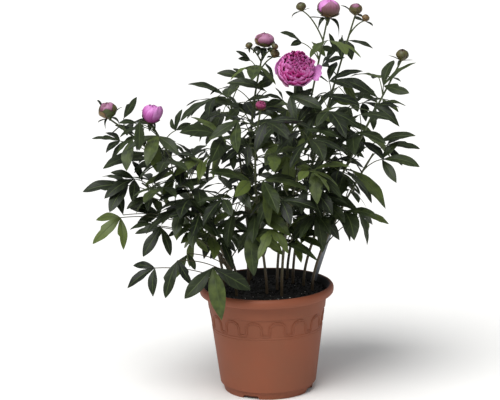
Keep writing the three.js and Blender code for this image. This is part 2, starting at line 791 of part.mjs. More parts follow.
// Where a leaf joins its stalk: low enough for its petiole to rise to the hub by a given slope
function joinPoint(stalk, hub, slope = 0.6) {
  for (let i = 18; i >= 2; i--) {
    const p = stalkPoint(stalk, i / 19);
    const out = Math.hypot(hub[0] - p[0], hub[1] - p[1]);
    if (hub[2] - p[2] > slope * out) return p;
  }
  return stalkPoint(stalk, 0.1);
}

function petioleSamples(from, to) {
  const steps = Math.max(3, Math.round(size(sub(to, from)) / 4));
  const points = [];
  for (let i = 1; i <= steps; i++) points.push(petiolePoint(from, to, i / steps));
  return points;
}

function keepLeaf(owner, from, hub, parts) {
  const leaf = { from, hub, ...parts };
  take(petioleSamples(from, hub), owner, 0);
  for (const blade of parts.blades) take(bladeSamples(blade), owner, 0);
  for (const child of parts.children) if (child.stalklet) take(child.stalklet, owner, 0);
  return leaf;
}

function shownLeaf(id, [owner, hub, end, count]) {
  let best = null;
  for (let trial = 0; trial < SHOWN_TRIALS; trial++) {
    const step = Math.floor(trial / 4);
    const shift = swing3(id, 3 + trial, mul(SHOWN_SHIFT, step));
    const [h, e] = [add(hub, shift), add(end, shift)];
    const from = joinPoint(STALKS[owner], h, SHOWN_SLOPES[trial % 4]);
    if (!isFree(petioleSamples(from, h), owner, true)) continue;
    const sway = [swing(id, 1, SHOWN_SWAY[0]), 0, swing(id, 2, SHOWN_SWAY[2])];
    const facing = add(SHOWN_FACING, sway);
    const parts = leafParts(id, owner, h, e, count, facing);
    if (!best || parts.blades.length > best.parts.blades.length) best = { from, hub: h, parts };
    if (best.parts.blades.length === count) break;
  }
  if (!best || !best.parts.blades.length) return null;
  return keepLeaf(owner, best.from, best.hub, best.parts);
}

// A leaf of the general fill: compound low on the stalk, simpler towards its tip
function fillLeaf(id, owner, rank) {
  const stalk = STALKS[owner];
  const t = FILL_FROM + (FILL_SPAN * (rank + 0.5)) / stalk.fills;
  const from = stalkPoint(stalk, t);
  const [, count, usual] = FILL_KINDS.find(([below]) => t < below);
  let best = null;
  for (let trial = 0; trial < FILL_TRIALS; trial++) {
    const sway = trial === 0 ? 0 : swing(id, 200 + trial, 18 + 10 * trial);
    const heading = (stalk.turn + SPIRAL * rank + sway) * DEG;
    const out = [Math.cos(heading), Math.sin(heading), 0];
    const rise = (PETIOLE_RISE + 13 + swing(id, 220 + trial, 13)) * DEG;
    const reach = (PETIOLE_LOW * (1 - t) + PETIOLE_HIGH * t) * (1 + swing(id, 240 + trial, 0.2));
    const hub = add(from, add(mul(out, reach * Math.cos(rise)), [0, 0, reach * Math.sin(rise)]));
    const slope = (SLOPE_LOW * (1 - t) + SLOPE_HIGH * t + swing(id, 260 + trial, 20)) * DEG;
    const length = usual * (1 + swing(id, 280 + trial, 0.12));
    const end = add(hub, add(mul(out, length * Math.cos(slope)), [0, 0, length * Math.sin(slope)]));
    if (!inCrown(end) || !isFree(petioleSamples(from, hub), owner, true)) continue;
    const tilt = add(add(mul(out, 0.45), [0, -0.15, 0.8]), swing3(id, 300 + trial, [0.35, 0.35, 0]));
    const parts = leafParts(id * 32 + trial, owner, hub, end, count, tilt);
    if (!best || parts.blades.length > best.parts.blades.length) best = { hub, parts };
    if (best.parts.blades.length === parts.wanted) break;
  }
  if (!best || best.parts.blades.length < 2) return null;
  return keepLeaf(owner, from, best.hub, best.parts);
}

// Flower heads: the stalk's number, the middle of the head, its radius, and whether it stands
// on a side shoot
const BUDS = [
  { stalk: 0, at: [-24, 4, 668], radius: 6.5, lean: [-0.3, -0.1, 1], shoot: true },
  { stalk: 0, at: [24, -8, 653], radius: 8.5, lean: [0.4, -0.2, 1], shoot: true },
  { stalk: 0, at: [24, -22, 668], radius: 6, lean: [0.5, -0.3, 1], shoot: true },
  { stalk: 1, at: [75, 10, 738], radius: 9, lean: [-0.2, -0.1, 1], shoot: true },
  { stalk: 2, at: [180, 50, 728], radius: 12, lean: [0, -0.1, 1] },
  { stalk: 2, at: [198, 38, 712], radius: 7, lean: [0.4, -0.1, 1], shoot: true },
  { stalk: 4, at: [263, -5, 645], radius: 11.5, lean: [0.1, -0.1, 1] },
];
const OPENING = [
  { name: "cluster", stalk: 0, at: [6, 15, 677], radius: 18, lean: [0.1, -0.1, 1] },
  { name: "top", stalk: 1, at: [127, 5, 735], radius: 21.5, lean: [0.15, -0.1, 1] },
  { name: "far_left", stalk: 5, at: [-291, -30, 556], radius: 16, lean: [-0.2, -0.1, 1] },
  { name: "left_pink", stalk: 6, at: [-207, -55, 552], radius: 18, lean: [0.15, -0.35, 1] },
  { name: "small_red", stalk: 7, at: [-5, -110, 570], radius: 9.5, lean: [0.1, -0.1, 1] },
];
const BLOOM = { stalk: 3, at: [62, -52, 631], radius: 35, lean: [0.05, -0.8, 0.6] };
const BLOOM_DEPTH = 18;

// Whorls of the open bloom: how many petals, their lean outwards and their turn in degrees,
// and their sizes as shares of the radius. The first is one guard petal that has fallen open
const BLOOM_WHORLS = [
  { count: 1, spread: 88, length: 1.22, width: 0.8, start: 0.14, lift: 0.06, turn: -12 },
  { count: 5, spread: 62, length: 1, width: 0.95, start: 0.1, lift: 0.03, turn: 30 },
  { count: 5, spread: 46, length: 0.98, width: 0.8, start: 0.14, lift: 0.12, turn: 0 },
  { count: 5, spread: 28, length: 0.88, width: 0.6, start: 0.13, lift: 0.28, turn: 36 },
  { count: 3, spread: 9, length: 0.74, width: 0.42, start: 0.08, lift: 0.42, turn: 30 },
];

// Profiles of a head in shares of its radius, as distance from the axis and height
const BUD_PROFILE = [[0.3, -0.92], [0.86, -0.5], [1, 0.05], [0.66, 0.72]];
const CUP_PROFILE = [
  [0.3, -0.95],
  [0.75, -0.6],
  [1, -0.05],
  [0.96, 0.45],
  [0.74, 0.86],
  [0.56, 0.62],
  [0.42, 0.84],
];
const CUP_LIP = 4;
const CUP_LOBES = 5;
const SEPAL_PATH = [[0.15, -1.1], [0.9, -0.82], [1.18, -0.1], [1.22, 0.5]];
const BRACT_PATH = [[0.5, -0.66], [1.15, -0.85], [1.8, -0.2], [2.2, 0.7]];

// The end of a stalk: under the head that it carries, or its own tip
function stalkTip(stalk, owner) {
  const opening = OPENING.find((head) => head.stalk === owner);
  const bud = BUDS.find((head) => head.stalk === owner && !head.shoot);
  if (opening) return sub(opening.at, mul(unit(opening.lean), 0.95 * opening.radius + 3));
  if (bud) return sub(bud.at, mul(unit(bud.lean), 0.8 * bud.radius));
  if (BLOOM.stalk === owner) return sub(BLOOM.at, mul(unit(BLOOM.lean), BLOOM_DEPTH + 4));
  return stalk.tip;
}

// Growing the plant: heads and stalks take their space first, then the shown leaves, then the
// fill, one leaf of every stalk at a time
function grow() {
  STALKS.forEach((stalk, owner) => {
    stalk.tip = stalkTip(stalk, owner);
    stalk.leaves = [];
    const points = [];
    for (let i = 0; i <= 60; i++) points.push(stalkPoint(stalk, i / 60));
    take(points, owner, STALK_R - 2, true);
  });
  for (const head of [...BUDS, ...OPENING]) take([head.at], HEADS, head.radius + 2);
  take([BLOOM.at], HEADS, 34);
  take([0, 1, 2, 3, 4, 5, 6, 7, 8, 9, 10].map((i) => mix(LABEL_FOOT, LABEL_TOP, i / 10)), HEADS, 4);
  SHOWN_LEAVES.forEach((row, i) => {
    const leaf = shownLeaf(i, row);
    if (leaf) STALKS[row[0]].leaves.push(leaf);
  });
  const most = Math.max(...STALKS.map((stalk) => stalk.fills));
  for (let rank = 0; rank < most; rank++) {
    STALKS.forEach((stalk, owner) => {
      if (rank >= stalk.fills) return;
      const leaf = fillLeaf(100 + owner * 10 + rank, owner, rank);
      if (leaf) stalk.leaves.push(leaf);
    });
  }
}

function headFrame(lean) {
  const axis = unit(lean);
  const u = unit(cross([0, 1, 0.2], axis));
  return { axis, u, v: cross(axis, u) };
}

// A point round a head: distance from its axis, height and turn
function roundHead(head, out, up, turn) {
  const { axis, u, v } = headFrame(head.lean);
  const spoke = add(mul(u, Math.cos(turn * DEG)), mul(v, Math.sin(turn * DEG)));
  return add(head.at, add(mul(spoke, out), mul(axis, up)));
}

// Sepal or bract: a narrow blade along a path that starts under the head
function sepalSolid(head, path, turn, width) {
  const { axis } = headFrame(head.lean);
  const points = path.map(([out, up]) => roundHead(head, out * head.radius, up * head.radius, turn));
  const spoke = unit(sub(roundHead(head, 1, 0, turn), head.at));
  const side = cross(axis, spoke);
  const sections = points.slice(0, -1).map((point, i) => {
    const face = cross(unit(sub(points[i + 1], points[Math.max(0, i - 1)])), side);
    return strap(point, side, face, (i === 0 ? 0.16 : 0.5) * width, 0.9);
  });
  return loft([...sections, [points[points.length - 1]]]);
}

// A level ring of points round a head
function headRing(head, out, up, sides) {
  const points = [];
  for (let i = 0; i < sides; i++) points.push(roundHead(head, out, up, (360 * i) / sides));
  return points;
}

// Closed bud: a round body with two bracts beside it
function budSolids(bud) {
  const sections = BUD_PROFILE.map(([out, up]) => headRing(bud, out * bud.radius, up * bud.radius, 7));
  const parts = [loft([...sections, [roundHead(bud, 0, 1.08 * bud.radius, 0)]])];
  for (let i = 0; i < 2; i++) {
    parts.push(sepalSolid(bud, BRACT_PATH, 10 + 170 * i + swing(i, bud.stalk, 30), 0.6 * bud.radius));
  }
  if (bud.shoot) {
    const foot = roundHead(bud, 0, -0.8 * bud.radius, 0);
    parts.push(petioleSolid(joinPoint(STALKS[bud.stalk], foot), foot, 3, 1.5));
  }
  return parts;
}

// Half-open bud: petals that overlap in a turn round the cup, end in lobes and hold a small heart
function cupSolid(head) {
  const sides = 3 * CUP_LOBES;
  const sections = CUP_PROFILE.map(([out, up], level) => {
    const points = [];
    for (let i = 0; i < sides; i++) {
      const lobe = i % 3 === 1 ? 1 : 0;
      const overlap = level > 0 && level <= CUP_LIP ? 0.035 * ((i % 3) - 1) : 0;
      const lift = level === CUP_LIP ? 0.16 * lobe - 0.08 : 0;
      const turn = (360 * i) / sides;
      points.push(roundHead(head, (out + overlap) * head.radius, (up + lift) * head.radius, turn));
    }
    return points;
  });
  return loft([...sections, [roundHead(head, 0, 0.98 * head.radius, 0)]]);
}

// Calyx under a half-open bud, fused to the stalk: a short cone and sepals that cup the petals
function calyxSolids(head) {
  const top = -0.95 * head.radius - FIT;
  const cone = [headRing(head, 2, top - 5, 6), headRing(head, 0.32 * head.radius, top - 0.3, 6)];
  const parts = [loft(cone)];
  for (let i = 0; i < 4; i++) {
    parts.push(sepalSolid(head, SEPAL_PATH, 45 + 90 * i + swing(i, head.stalk, 12), 0.75 * head.radius));
  }
  return parts;
}

// Petal of the open bloom: cupped across and along, from a start near the axis
function petalSolid(turn, whorl, longer) {
  const { axis, u, v } = headFrame(BLOOM.lean);
  const r = BLOOM.radius;
  const length = whorl.length * longer * r;
  const spoke = add(mul(u, Math.cos(turn * DEG)), mul(v, Math.sin(turn * DEG)));
  const side = cross(axis, spoke);
  const [c, s] = [Math.cos(whorl.spread * DEG), Math.sin(whorl.spread * DEG)];
  const rows = [[0, 0.25], [0.4, 0.85], [0.8, 1], [1, 0.6]];
  const sections = rows.map(([t, share]) => {
    const bow = Math.sin(Math.PI * Math.min(1, 0.9 * t));
    const out = whorl.start * r + length * (t * s + 0.2 * bow * c);
    const up = whorl.lift * r - BLOOM_DEPTH + length * (t * c - 0.14 * bow * s);
    const centre = add(BLOOM.at, add(mul(spoke, out), mul(axis, up)));
    const normal = sub(mul(spoke, c), mul(axis, s));
    const half = (whorl.width / 2) * r * share;
    const edge = (k) => add(centre, sub(mul(side, k * half), mul(normal, 0.2 * half)));
    return [edge(1), add(centre, mul(normal, 0.1)), edge(-1), add(centre, mul(normal, 1.4))];
  });
  return loft(sections);
}

// Bloom: guard petals, whorls inside them and a heart, all sunk in a small core
function bloomSolid() {
  const core = { ...BLOOM, at: roundHead(BLOOM, 0, 10 - BLOOM_DEPTH, 0), radius: 11 };
  const rings = BUD_PROFILE.map(([out, up]) => headRing(core, out * core.radius, up * core.radius, 8));
  const parts = [loft([...rings, [roundHead(core, 0, core.radius, 0)]])];
  BLOOM_WHORLS.forEach((whorl, row) => {
    for (let i = 0; i < whorl.count; i++) {
      const turn = whorl.turn + (360 / whorl.count) * i + swing(row, i, 5);
      parts.push(petalSolid(turn, whorl, 0.94 + 0.12 * draw(row + 9, i)));
    }
  });
  return join(parts);
}

function receptacleSolid() {
  return loft([headRing(BLOOM, 2.2, -BLOOM_DEPTH - 7, 6), headRing(BLOOM, 5, -BLOOM_DEPTH - FIT, 6)]);
}

const group = new THREE.Group();
grow();
group.add(namedMesh("pot", pot(), PLASTIC));
group.add(namedMesh("soil", soil(STALKS), SOIL));
group.add(namedMesh("plant_label", strip(LABEL_FOOT, LABEL_TOP, LABEL_W, LABEL_T, 0), GREY));
STALKS.forEach((stalk, owner) => {
  const parts = [stalkSolid(stalk), ...stalk.leaves.map(leafSolid)];
  for (const bud of BUDS) if (bud.stalk === owner) parts.push(...budSolids(bud));
  for (const head of OPENING) if (head.stalk === owner) parts.push(...calyxSolids(head));
  if (BLOOM.stalk === owner) parts.push(receptacleSolid());
  group.add(namedMesh(`stem_${stalk.name}`, join(parts), LEAF));
});
for (const head of OPENING) group.add(namedMesh(`petals_${head.name}`, cupSolid(head), PETAL));
group.add(namedMesh("petals_bloom", bloomSolid(), PETAL));

export default group;
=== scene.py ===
import math
import random

import bpy
import numpy as np
from mathutils import Matrix, Vector, noise


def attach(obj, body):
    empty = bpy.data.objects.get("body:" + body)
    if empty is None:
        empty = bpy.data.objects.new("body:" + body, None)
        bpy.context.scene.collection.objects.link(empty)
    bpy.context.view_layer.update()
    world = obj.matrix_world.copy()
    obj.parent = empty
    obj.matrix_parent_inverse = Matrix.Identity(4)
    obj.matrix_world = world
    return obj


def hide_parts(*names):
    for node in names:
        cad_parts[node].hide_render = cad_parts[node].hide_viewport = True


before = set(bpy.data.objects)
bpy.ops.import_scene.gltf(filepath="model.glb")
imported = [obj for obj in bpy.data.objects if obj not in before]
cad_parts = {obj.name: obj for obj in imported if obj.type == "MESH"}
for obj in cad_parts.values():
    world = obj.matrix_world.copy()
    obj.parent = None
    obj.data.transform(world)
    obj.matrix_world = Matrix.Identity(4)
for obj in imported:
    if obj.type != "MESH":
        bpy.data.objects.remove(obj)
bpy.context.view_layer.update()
MM = 0.001

# Pot
# A seven-litre nursery pot, injection moulded in terracotta-coloured polypropylene: a
# rolled rim, a collar, a frieze of arches between two lines, and a set-in foot ring with
# four notches. Water leaves it through eight holes in its base.
POT_SIDES = 112
FOOT_H = 15.6
FOOT_R = 87.5
LIP_LOW_Z = 190
WALL_LOW_R = 93.4
WALL_TOP_R = 115.5
WALL_T = 2.6
FRIEZE_LOW_Z = 127
FRIEZE_TOP_Z = 163
RECESS = 0.8
COLLAR = 1.2
GROOVE = 0.5
NOTCHES = 4
NOTCH_ARC = 24
NOTCH_H = 7
NOTCH_DEPTH = 15
NOTCH_TAPER = 0.76
FIRST_NOTCH = -24
DRAINS = 8
DRAIN_R = 6
DRAIN_RING_R = 62


def wall_radius(z):
    return WALL_LOW_R + (WALL_TOP_R - WALL_LOW_R) * (z - FOOT_H) / (LIP_LOW_Z - FOOT_H)


def select_only(*pieces):
    """Selects these pieces alone; the last of them is the active one."""
    bpy.ops.object.select_all(action="DESELECT")
    for piece in pieces:
        piece.select_set(True)
    bpy.context.view_layer.objects.active = pieces[-1]


def new_piece(name, points, faces):
    """A mesh object from points in metres and faces."""
    mesh = bpy.data.meshes.new(name)
    mesh.from_pydata(points, [], faces)
    piece = bpy.data.objects.new(name, mesh)
    bpy.context.scene.collection.objects.link(piece)
    return piece


# The wall from the middle of the base round the foot, up the outside, over the rim and down
# the inside, as radius and height
POT_PROFILE = [
    (24, 0), (26, 2.4), (81, 2.4), (82, 0), (86, 0), (89.5, FOOT_H), (WALL_LOW_R, FOOT_H),
    (wall_radius(60), 60),
    (wall_radius(122.4), 122.4),
    (wall_radius(123) - GROOVE, 123),
    (wall_radius(124.4) - GROOVE, 124.4),
    (wall_radius(125), 125),
    (wall_radius(FRIEZE_LOW_Z), FRIEZE_LOW_Z),
    (wall_radius(FRIEZE_LOW_Z + 0.8) - RECESS, FRIEZE_LOW_Z + 0.8),
    (wall_radius(150) - RECESS, 150),
    (wall_radius(FRIEZE_TOP_Z) - RECESS, FRIEZE_TOP_Z),
    (wall_radius(FRIEZE_TOP_Z) + COLLAR, FRIEZE_TOP_Z + 1),
    (wall_radius(187.6) + COLLAR, 187.6),
    (WALL_TOP_R + COLLAR - 0.7, 188.4),
    (WALL_TOP_R + COLLAR - 0.7, LIP_LOW_Z),
    (127, LIP_LOW_Z), (129, 192.2), (129.8, 195.6), (130, 199.6), (129.2, 203), (127.2, 205.6),
    (124.8, 206.9), (122.6, 206.7), (120.6, 205), (119.2, 201.6), (117.2, 196), (112.9, 186),
    (wall_radius(100) - WALL_T, 100),
    (90.8, 17.6), (83.9, 5), (24, 5),
]
bpy.ops.object.select_all(action="DESELECT")
bpy.ops.mesh.primitive_circle_add(vertices=POT_SIDES, radius=POT_PROFILE[0][0] * MM, location=(0, 0, 0))
pot = bpy.context.object
pot.name = pot.data.name = "nursery_pot"
bpy.ops.object.mode_set(mode="EDIT")
bpy.ops.mesh.select_all(action="SELECT")
for (r0, z0), (r1, z1) in zip(POT_PROFILE, POT_PROFILE[1:]):
    bpy.ops.mesh.extrude_edges_move(TRANSFORM_OT_translate={"value": (0, 0, (z1 - z0) * MM)})
    bpy.ops.transform.resize(value=(r1 / r0, r1 / r0, 1), center_override=(0, 0, 0))
bpy.ops.mesh.select_all(action="SELECT")
bpy.ops.mesh.fill_holes(sides=0)
bpy.ops.mesh.select_all(action="SELECT")
bpy.ops.mesh.normals_make_consistent(inside=False)
bpy.ops.object.mode_set(mode="OBJECT")

# The notches in the foot ring narrow upwards, and the drain holes are drilled between them
notch_w = 2 * FOOT_R * math.sin(math.radians(NOTCH_ARC / 2))
cutters = []
for i in range(NOTCHES):
    bpy.ops.mesh.primitive_cube_add(size=1, location=(0, -FOOT_R * MM, (NOTCH_H - 1) / 2 * MM))
    notch = bpy.context.object
    notch.scale = (notch_w * MM, NOTCH_DEPTH * MM, (NOTCH_H + 1) * MM)
    bpy.ops.object.transform_apply(location=True, rotation=False, scale=True)
    bpy.ops.object.mode_set(mode="EDIT")
    bpy.ops.mesh.select_all(action="DESELECT")
    bpy.ops.object.mode_set(mode="OBJECT")
    for face in notch.data.polygons:
        face.select = face.normal.z > 0.5
    bpy.ops.object.mode_set(mode="EDIT")
    bpy.ops.transform.resize(value=(NOTCH_TAPER, 1, 1), center_override=(0, -FOOT_R * MM, 0))
    bpy.ops.object.mode_set(mode="OBJECT")
    notch.data.transform(Matrix.Rotation(math.radians(FIRST_NOTCH + 360 / NOTCHES * i), 4, "Z"))
    cutters.append(notch)
for i in range(DRAINS):
    turn = (i + 0.5) * 2 * math.pi / DRAINS
    middle = (DRAIN_RING_R * math.cos(turn) * MM, DRAIN_RING_R * math.sin(turn) * MM, 0)
    bpy.ops.mesh.primitive_cylinder_add(vertices=24, radius=DRAIN_R * MM, depth=20 * MM, location=middle)
    bpy.ops.object.transform_apply(location=True, rotation=False, scale=True)
    cutters.append(bpy.context.object)
select_only(*reversed(cutters))
bpy.ops.object.join()
cutter = bpy.context.object
select_only(pot)
cut = pot.modifiers.new("notches and drain holes", "BOOLEAN")
cut.operation = "DIFFERENCE"
cut.solver = "EXACT"
cut.object = cutter
bpy.ops.object.modifier_apply(modifier=cut.name)
bpy.data.objects.remove(cutter)

# The ribbon of the frieze runs over fifteen round arches and dips in a square U between
# them. Both of its edges stand up as fine lines.
ARCHES = 15
ARCH_W = 30.5
ARCH_LOW_Z = 131.5
ARCH_TOP_Z = 157
ARCH_RISE = 12
ARCH_LEG = 8
FIRST_ARCH = 9.6
DIP = [(0.06, 2.2), (0.2, 0.7), (0.5, 0.1), (1, 0), (1.5, 0.1), (1.8, 0.7), (1.94, 2.2)]
RIBBON_SECTION = [
    (-2.45, -0.8), (-2.3, 0.8), (-1.8, 1.1), (-1.1, 0.3), (1.1, 0.3), (1.8, 1.1), (2.3, 0.8), (2.45, -0.8),
]
arc_mm = math.radians(1) * wall_radius(ARCH_TOP_Z)
pitch = 360 / ARCHES * arc_mm
path = []
for i in range(ARCHES):
    middle = FIRST_ARCH * arc_mm + pitch * i
    half, spring = ARCH_W / 2, ARCH_TOP_Z - ARCH_RISE
    path.append((middle - half, spring - ARCH_LEG))
    for step in range(13):
        turn = math.pi * (1 - step / 12)
        path.append((middle + half * math.cos(turn), spring + ARCH_RISE * math.sin(turn)))
    path.append((middle + half, spring - ARCH_LEG))
    low_half = pitch / 2 - half
    path += [(middle + half + low_half * x, ARCH_LOW_Z + z) for x, z in DIP]
loop = len(path)
points, faces = [], []
for i in range(loop):
    before, after = path[i - 1], path[(i + 1) % loop]
    run_x = (after[0] - before[0] + ARCHES * pitch / 2) % (ARCHES * pitch) - ARCHES * pitch / 2
    run_z = after[1] - before[1]
    length = math.hypot(run_x, run_z)
    for across, rise in RIBBON_SECTION:
        angle = math.radians((path[i][0] - across * run_z / length) / arc_mm)
        z = path[i][1] + across * run_x / length
        r = wall_radius(z) - RECESS + rise
        points.append((r * math.sin(angle) * MM, -r * math.cos(angle) * MM, z * MM))
n = len(RIBBON_SECTION)
for i in range(loop):
    a, b = i * n, (i + 1) % loop * n
    faces += [(a + j, b + j, b + (j + 1) % n, a + (j + 1) % n) for j in range(n)]
frieze = new_piece("frieze", points, faces)
select_only(frieze)
bpy.ops.object.mode_set(mode="EDIT")
bpy.ops.mesh.select_all(action="SELECT")
bpy.ops.mesh.normals_make_consistent(inside=False)
bpy.ops.object.mode_set(mode="OBJECT")
select_only(frieze, pot)
bpy.ops.object.join()
bpy.ops.object.shade_smooth_by_angle(angle=math.radians(32))


def linear(code):
    """An sRGB hex colour as linear red, green, blue and alpha."""
    parts = [int(code[i : i + 2], 16) / 255 for i in (1, 3, 5)]
    return [c / 12.92 if c <= 0.04045 else ((c + 0.055) / 1.055) ** 2.4 for c in parts] + [1]


class Surface:
    """A material while its nodes are added; most methods give the socket that they end in."""

    def __init__(self, name):
        self.material = bpy.data.materials.new(name)
        self.material.use_nodes = True
        self.shader = self.material.node_tree.nodes["Principled BSDF"]
        self.place = self.node("ShaderNodeTexCoord").outputs["Object"]

    def node(self, kind, inputs=None, **settings):
        """Adds a node, its settings, and the values or links of its inputs."""
        made = self.material.node_tree.nodes.new(kind)
        for name, value in settings.items():
            setattr(made, name, value)
        for key, value in (inputs or {}).items():
            if isinstance(value, bpy.types.NodeSocket):
                self.material.node_tree.links.new(value, made.inputs[key])
            else:
                made.inputs[key].default_value = value
        return made

    def noise(self, place, scale, detail=2.0):
        inputs = {"Vector": place, "Scale": scale, "Detail": detail}
        return self.node("ShaderNodeTexNoise", inputs).outputs["Fac"]

    def stretched(self, place, scale):
        return self.node("ShaderNodeMapping", {"Vector": place, "Scale": scale}).outputs["Vector"]

    def split(self, place):
        return self.node("ShaderNodeSeparateXYZ", {"Vector": place}).outputs

    def along(self):
        """Where a point lies on its sheet, from side to side and from foot to tip."""
        return self.node("ShaderNodeUVMap", uv_map="along").outputs["UV"]

    def tone(self):
        """The shade that each leaflet, sepal or petal has of its own."""
        return self.node("ShaderNodeAttribute", attribute_name="tone").outputs["Fac"]

    def math(self, operation, *values):
        return self.node("ShaderNodeMath", dict(enumerate(values)), operation=operation).outputs[0]

    def ranged(self, value, low, high, start=0.0, end=1.0, curve="LINEAR"):
        """A value from low to high, spread from start to end."""
        inputs = {"Value": value, "From Min": low, "From Max": high, "To Min": start, "To Max": end}
        return self.node("ShaderNodeMapRange", inputs, interpolation_type=curve).outputs["Result"]

    def mixed(self, share, first, code):
        """A colour that goes over to the colour of that code by its share."""
        inputs = {"Factor": share, 6: first, 7: linear(code)}
        return self.node("ShaderNodeMix", inputs, data_type="RGBA").outputs[2]

    def ramped(self, value, first, last, middle=None):
        """Colours by a value; each stop is a position and a colour code."""
        ramp = self.node("ShaderNodeValToRGB", {"Fac": value})
        for element, (position, code) in zip(ramp.color_ramp.elements, (first, last)):
            element.position = position
            element.color = linear(code)
        if middle:
            ramp.color_ramp.elements.new(middle[0]).color = linear(middle[1])
        return ramp.outputs["Color"]

    def linked(self, socket, name):
        self.material.node_tree.links.new(socket, self.shader.inputs[name])

    def raised(self, height, strength, distance, sunk=False):
        """Relief from a height, at most the distance in metres high."""
        inputs = {"Height": height, "Strength": strength, "Distance": distance}
        self.linked(self.node("ShaderNodeBump", inputs, invert=sunk).outputs["Normal"], "Normal")

    def shows(self, colour, **plain):
        """Sets the colour and the shader's plain values, and gives the finished material."""
        if isinstance(colour, str):
            self.shader.inputs["Base Color"].default_value = linear(colour)
        else:
            self.linked(colour, "Base Color")
        for name, value in plain.items():
            self.shader.inputs[name.replace("_", " ")].default_value = value
        return self.material


# Moulded polypropylene: matt, faintly grained from the mould, a little dusty in patches, and
# near black on the inner wall above the soil
RIM_FADE = (0.176, 0.2)
INNER_DARK_R = (0.1226, 0.1252)
INNER_DARK_ABOVE = 0.1907
plastic = Surface("moulded_terracotta_polypropylene")
height = plastic.split(plastic.place)["Z"]
cloud = plastic.noise(plastic.place, 14.0, 4.0)
body = plastic.mixed(plastic.ranged(cloud, 0.35, 0.7), linear("#844528"), "#7e472d")
toned = plastic.mixed(plastic.ranged(height, *RIM_FADE), body, "#824428")
flat = plastic.node("ShaderNodeVectorMath", {0: plastic.place, 1: (1, 1, 0)}, operation="MULTIPLY")
radius = plastic.node("ShaderNodeVectorMath", {0: flat.outputs["Vector"]}, operation="LENGTH")
ragged = plastic.math("MULTIPLY_ADD", plastic.noise(plastic.place, 90.0, 4.0), 0.004, radius.outputs["Value"])
# The wall inside the rim goes near black, with a ragged edge: above 190.7 mm, and within about 123 mm of the
# axis
above = plastic.math("GREATER_THAN", height, INNER_DARK_ABOVE)
darkened_inside = plastic.math("MULTIPLY", plastic.ranged(ragged, *INNER_DARK_R, 1.0, 0.0), above)
plastic.raised(plastic.noise(plastic.place, 900.0), 0.25, 0.0003)
plastic.linked(plastic.ranged(cloud, 0.0, 1.0, 0.58, 0.72), "Roughness")
terracotta_pp = plastic.shows(plastic.mixed(darkened_inside, toned, "#15110e"))
pot.data.materials.clear()
pot.data.materials.append(terracotta_pp)
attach(pot, "root")
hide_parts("pot")

# Soil
# Damp peat soil, crowned a little at the middle and crumbly on top, with white grains of
# perlite here and there. It fills the pot to 12 mm under the rim.
SOIL_EDGE_R = 116.2
SOIL_EDGE_Z = 195
SOIL_CROWN = 4
SOIL_SUNK = 0.8
SOIL_FOOT = [(112.2, 186), (90, 18), (82.6, 5.3)]
LUMPS = [(14, 0, 1.5), (5, 3, 0.8)]
RINGS = 44
SPOKES = 120
CRUMBS = 1500
CRUMB_SIZES = (0.8, 1.2, 1.6, 2.2)
PERLITE = 46
random.seed(11)


def soil_height(x, y):
    """The soil's level at a point, in millimetres, with its lumps: size, seed and height."""
    r = min(1, math.hypot(x, y) / SOIL_EDGE_R)
    lumps = sum(high * noise.noise(Vector((x / wide, y / wide, seed))) for wide, seed, high in LUMPS)
    return SOIL_EDGE_Z + SOIL_CROWN * (1 - r * r) - SOIL_SUNK + lumps * (1 - r**8)


def ring(r):
    turns = [2 * math.pi * j / SPOKES for j in range(SPOKES)]
    return [(r * math.cos(turn), r * math.sin(turn)) for turn in turns]


points, faces = [(0, 0, soil_height(0, 0))], []
for i in range(1, RINGS + 1):
    points += [(x, y, soil_height(x, y)) for x, y in ring(SOIL_EDGE_R * i / RINGS)]
for r, z in SOIL_FOOT:
    points += [(x, y, z) for x, y in ring(r)]
faces += [(0, 1 + j, 1 + (j + 1) % SPOKES) for j in range(SPOKES)]
for i in range(RINGS + 2):
    a, b = 1 + i * SPOKES, 1 + (i + 1) * SPOKES
    faces += [(a + j, b + j, b + (j + 1) % SPOKES, a + (j + 1) % SPOKES) for j in range(SPOKES)]
faces.append(tuple(reversed(range(len(points) - SPOKES, len(points)))))
soil = new_piece("potting_soil", [tuple(c * MM for c in p) for p in points], faces)

# Crumbs of peat and grains of perlite: ragged little lumps that lie anyhow on the soil
bpy.ops.object.select_all(action="DESELECT")
bpy.ops.mesh.primitive_ico_sphere_add(subdivisions=1, radius=1)
crumb = bpy.context.object
crumb_points = np.array([v.co for v in crumb.data.vertices])
crumb_faces = np.array([f.vertices[:] for f in crumb.data.polygons])
bpy.data.objects.remove(crumb)
points, faces, perlite_flags = [], [], []
for i in range(CRUMBS + PERLITE):
    white = i >= CRUMBS
    r = SOIL_EDGE_R * 0.985 * math.sqrt(random.random())
    turn = random.uniform(0, 2 * math.pi)
    if white and i % 2:
        r, turn = random.uniform(70, 112), math.radians(random.uniform(-150, -20))
    x, y = r * math.cos(turn), r * math.sin(turn)
    reach = random.uniform(0.6, 1.1) if white else random.choice(CRUMB_SIZES) * random.uniform(0.8, 1.2)
    squash = np.array([random.uniform(0.7, 1.3), random.uniform(0.7, 1.3), random.uniform(0.5, 0.9)])
    ragged = np.array([random.uniform(0.75, 1.25) for _ in crumb_points])[:, None]
    about_z = Matrix.Rotation(random.uniform(0, 6.28), 3, "Z")
    turned = np.array(about_z @ Matrix.Rotation(random.uniform(-0.8, 0.8), 3, "X"))
    moved = (crumb_points * ragged * squash * reach) @ turned.T + [x, y, soil_height(x, y) + 0.25 * reach]
    faces.append(crumb_faces + len(crumb_points) * i)
    points.append(moved * MM)
    perlite_flags += [white] * len(crumb_faces)
crumbs = new_piece("soil_crumbs", np.vstack(points).tolist(), np.vstack(faces).tolist())

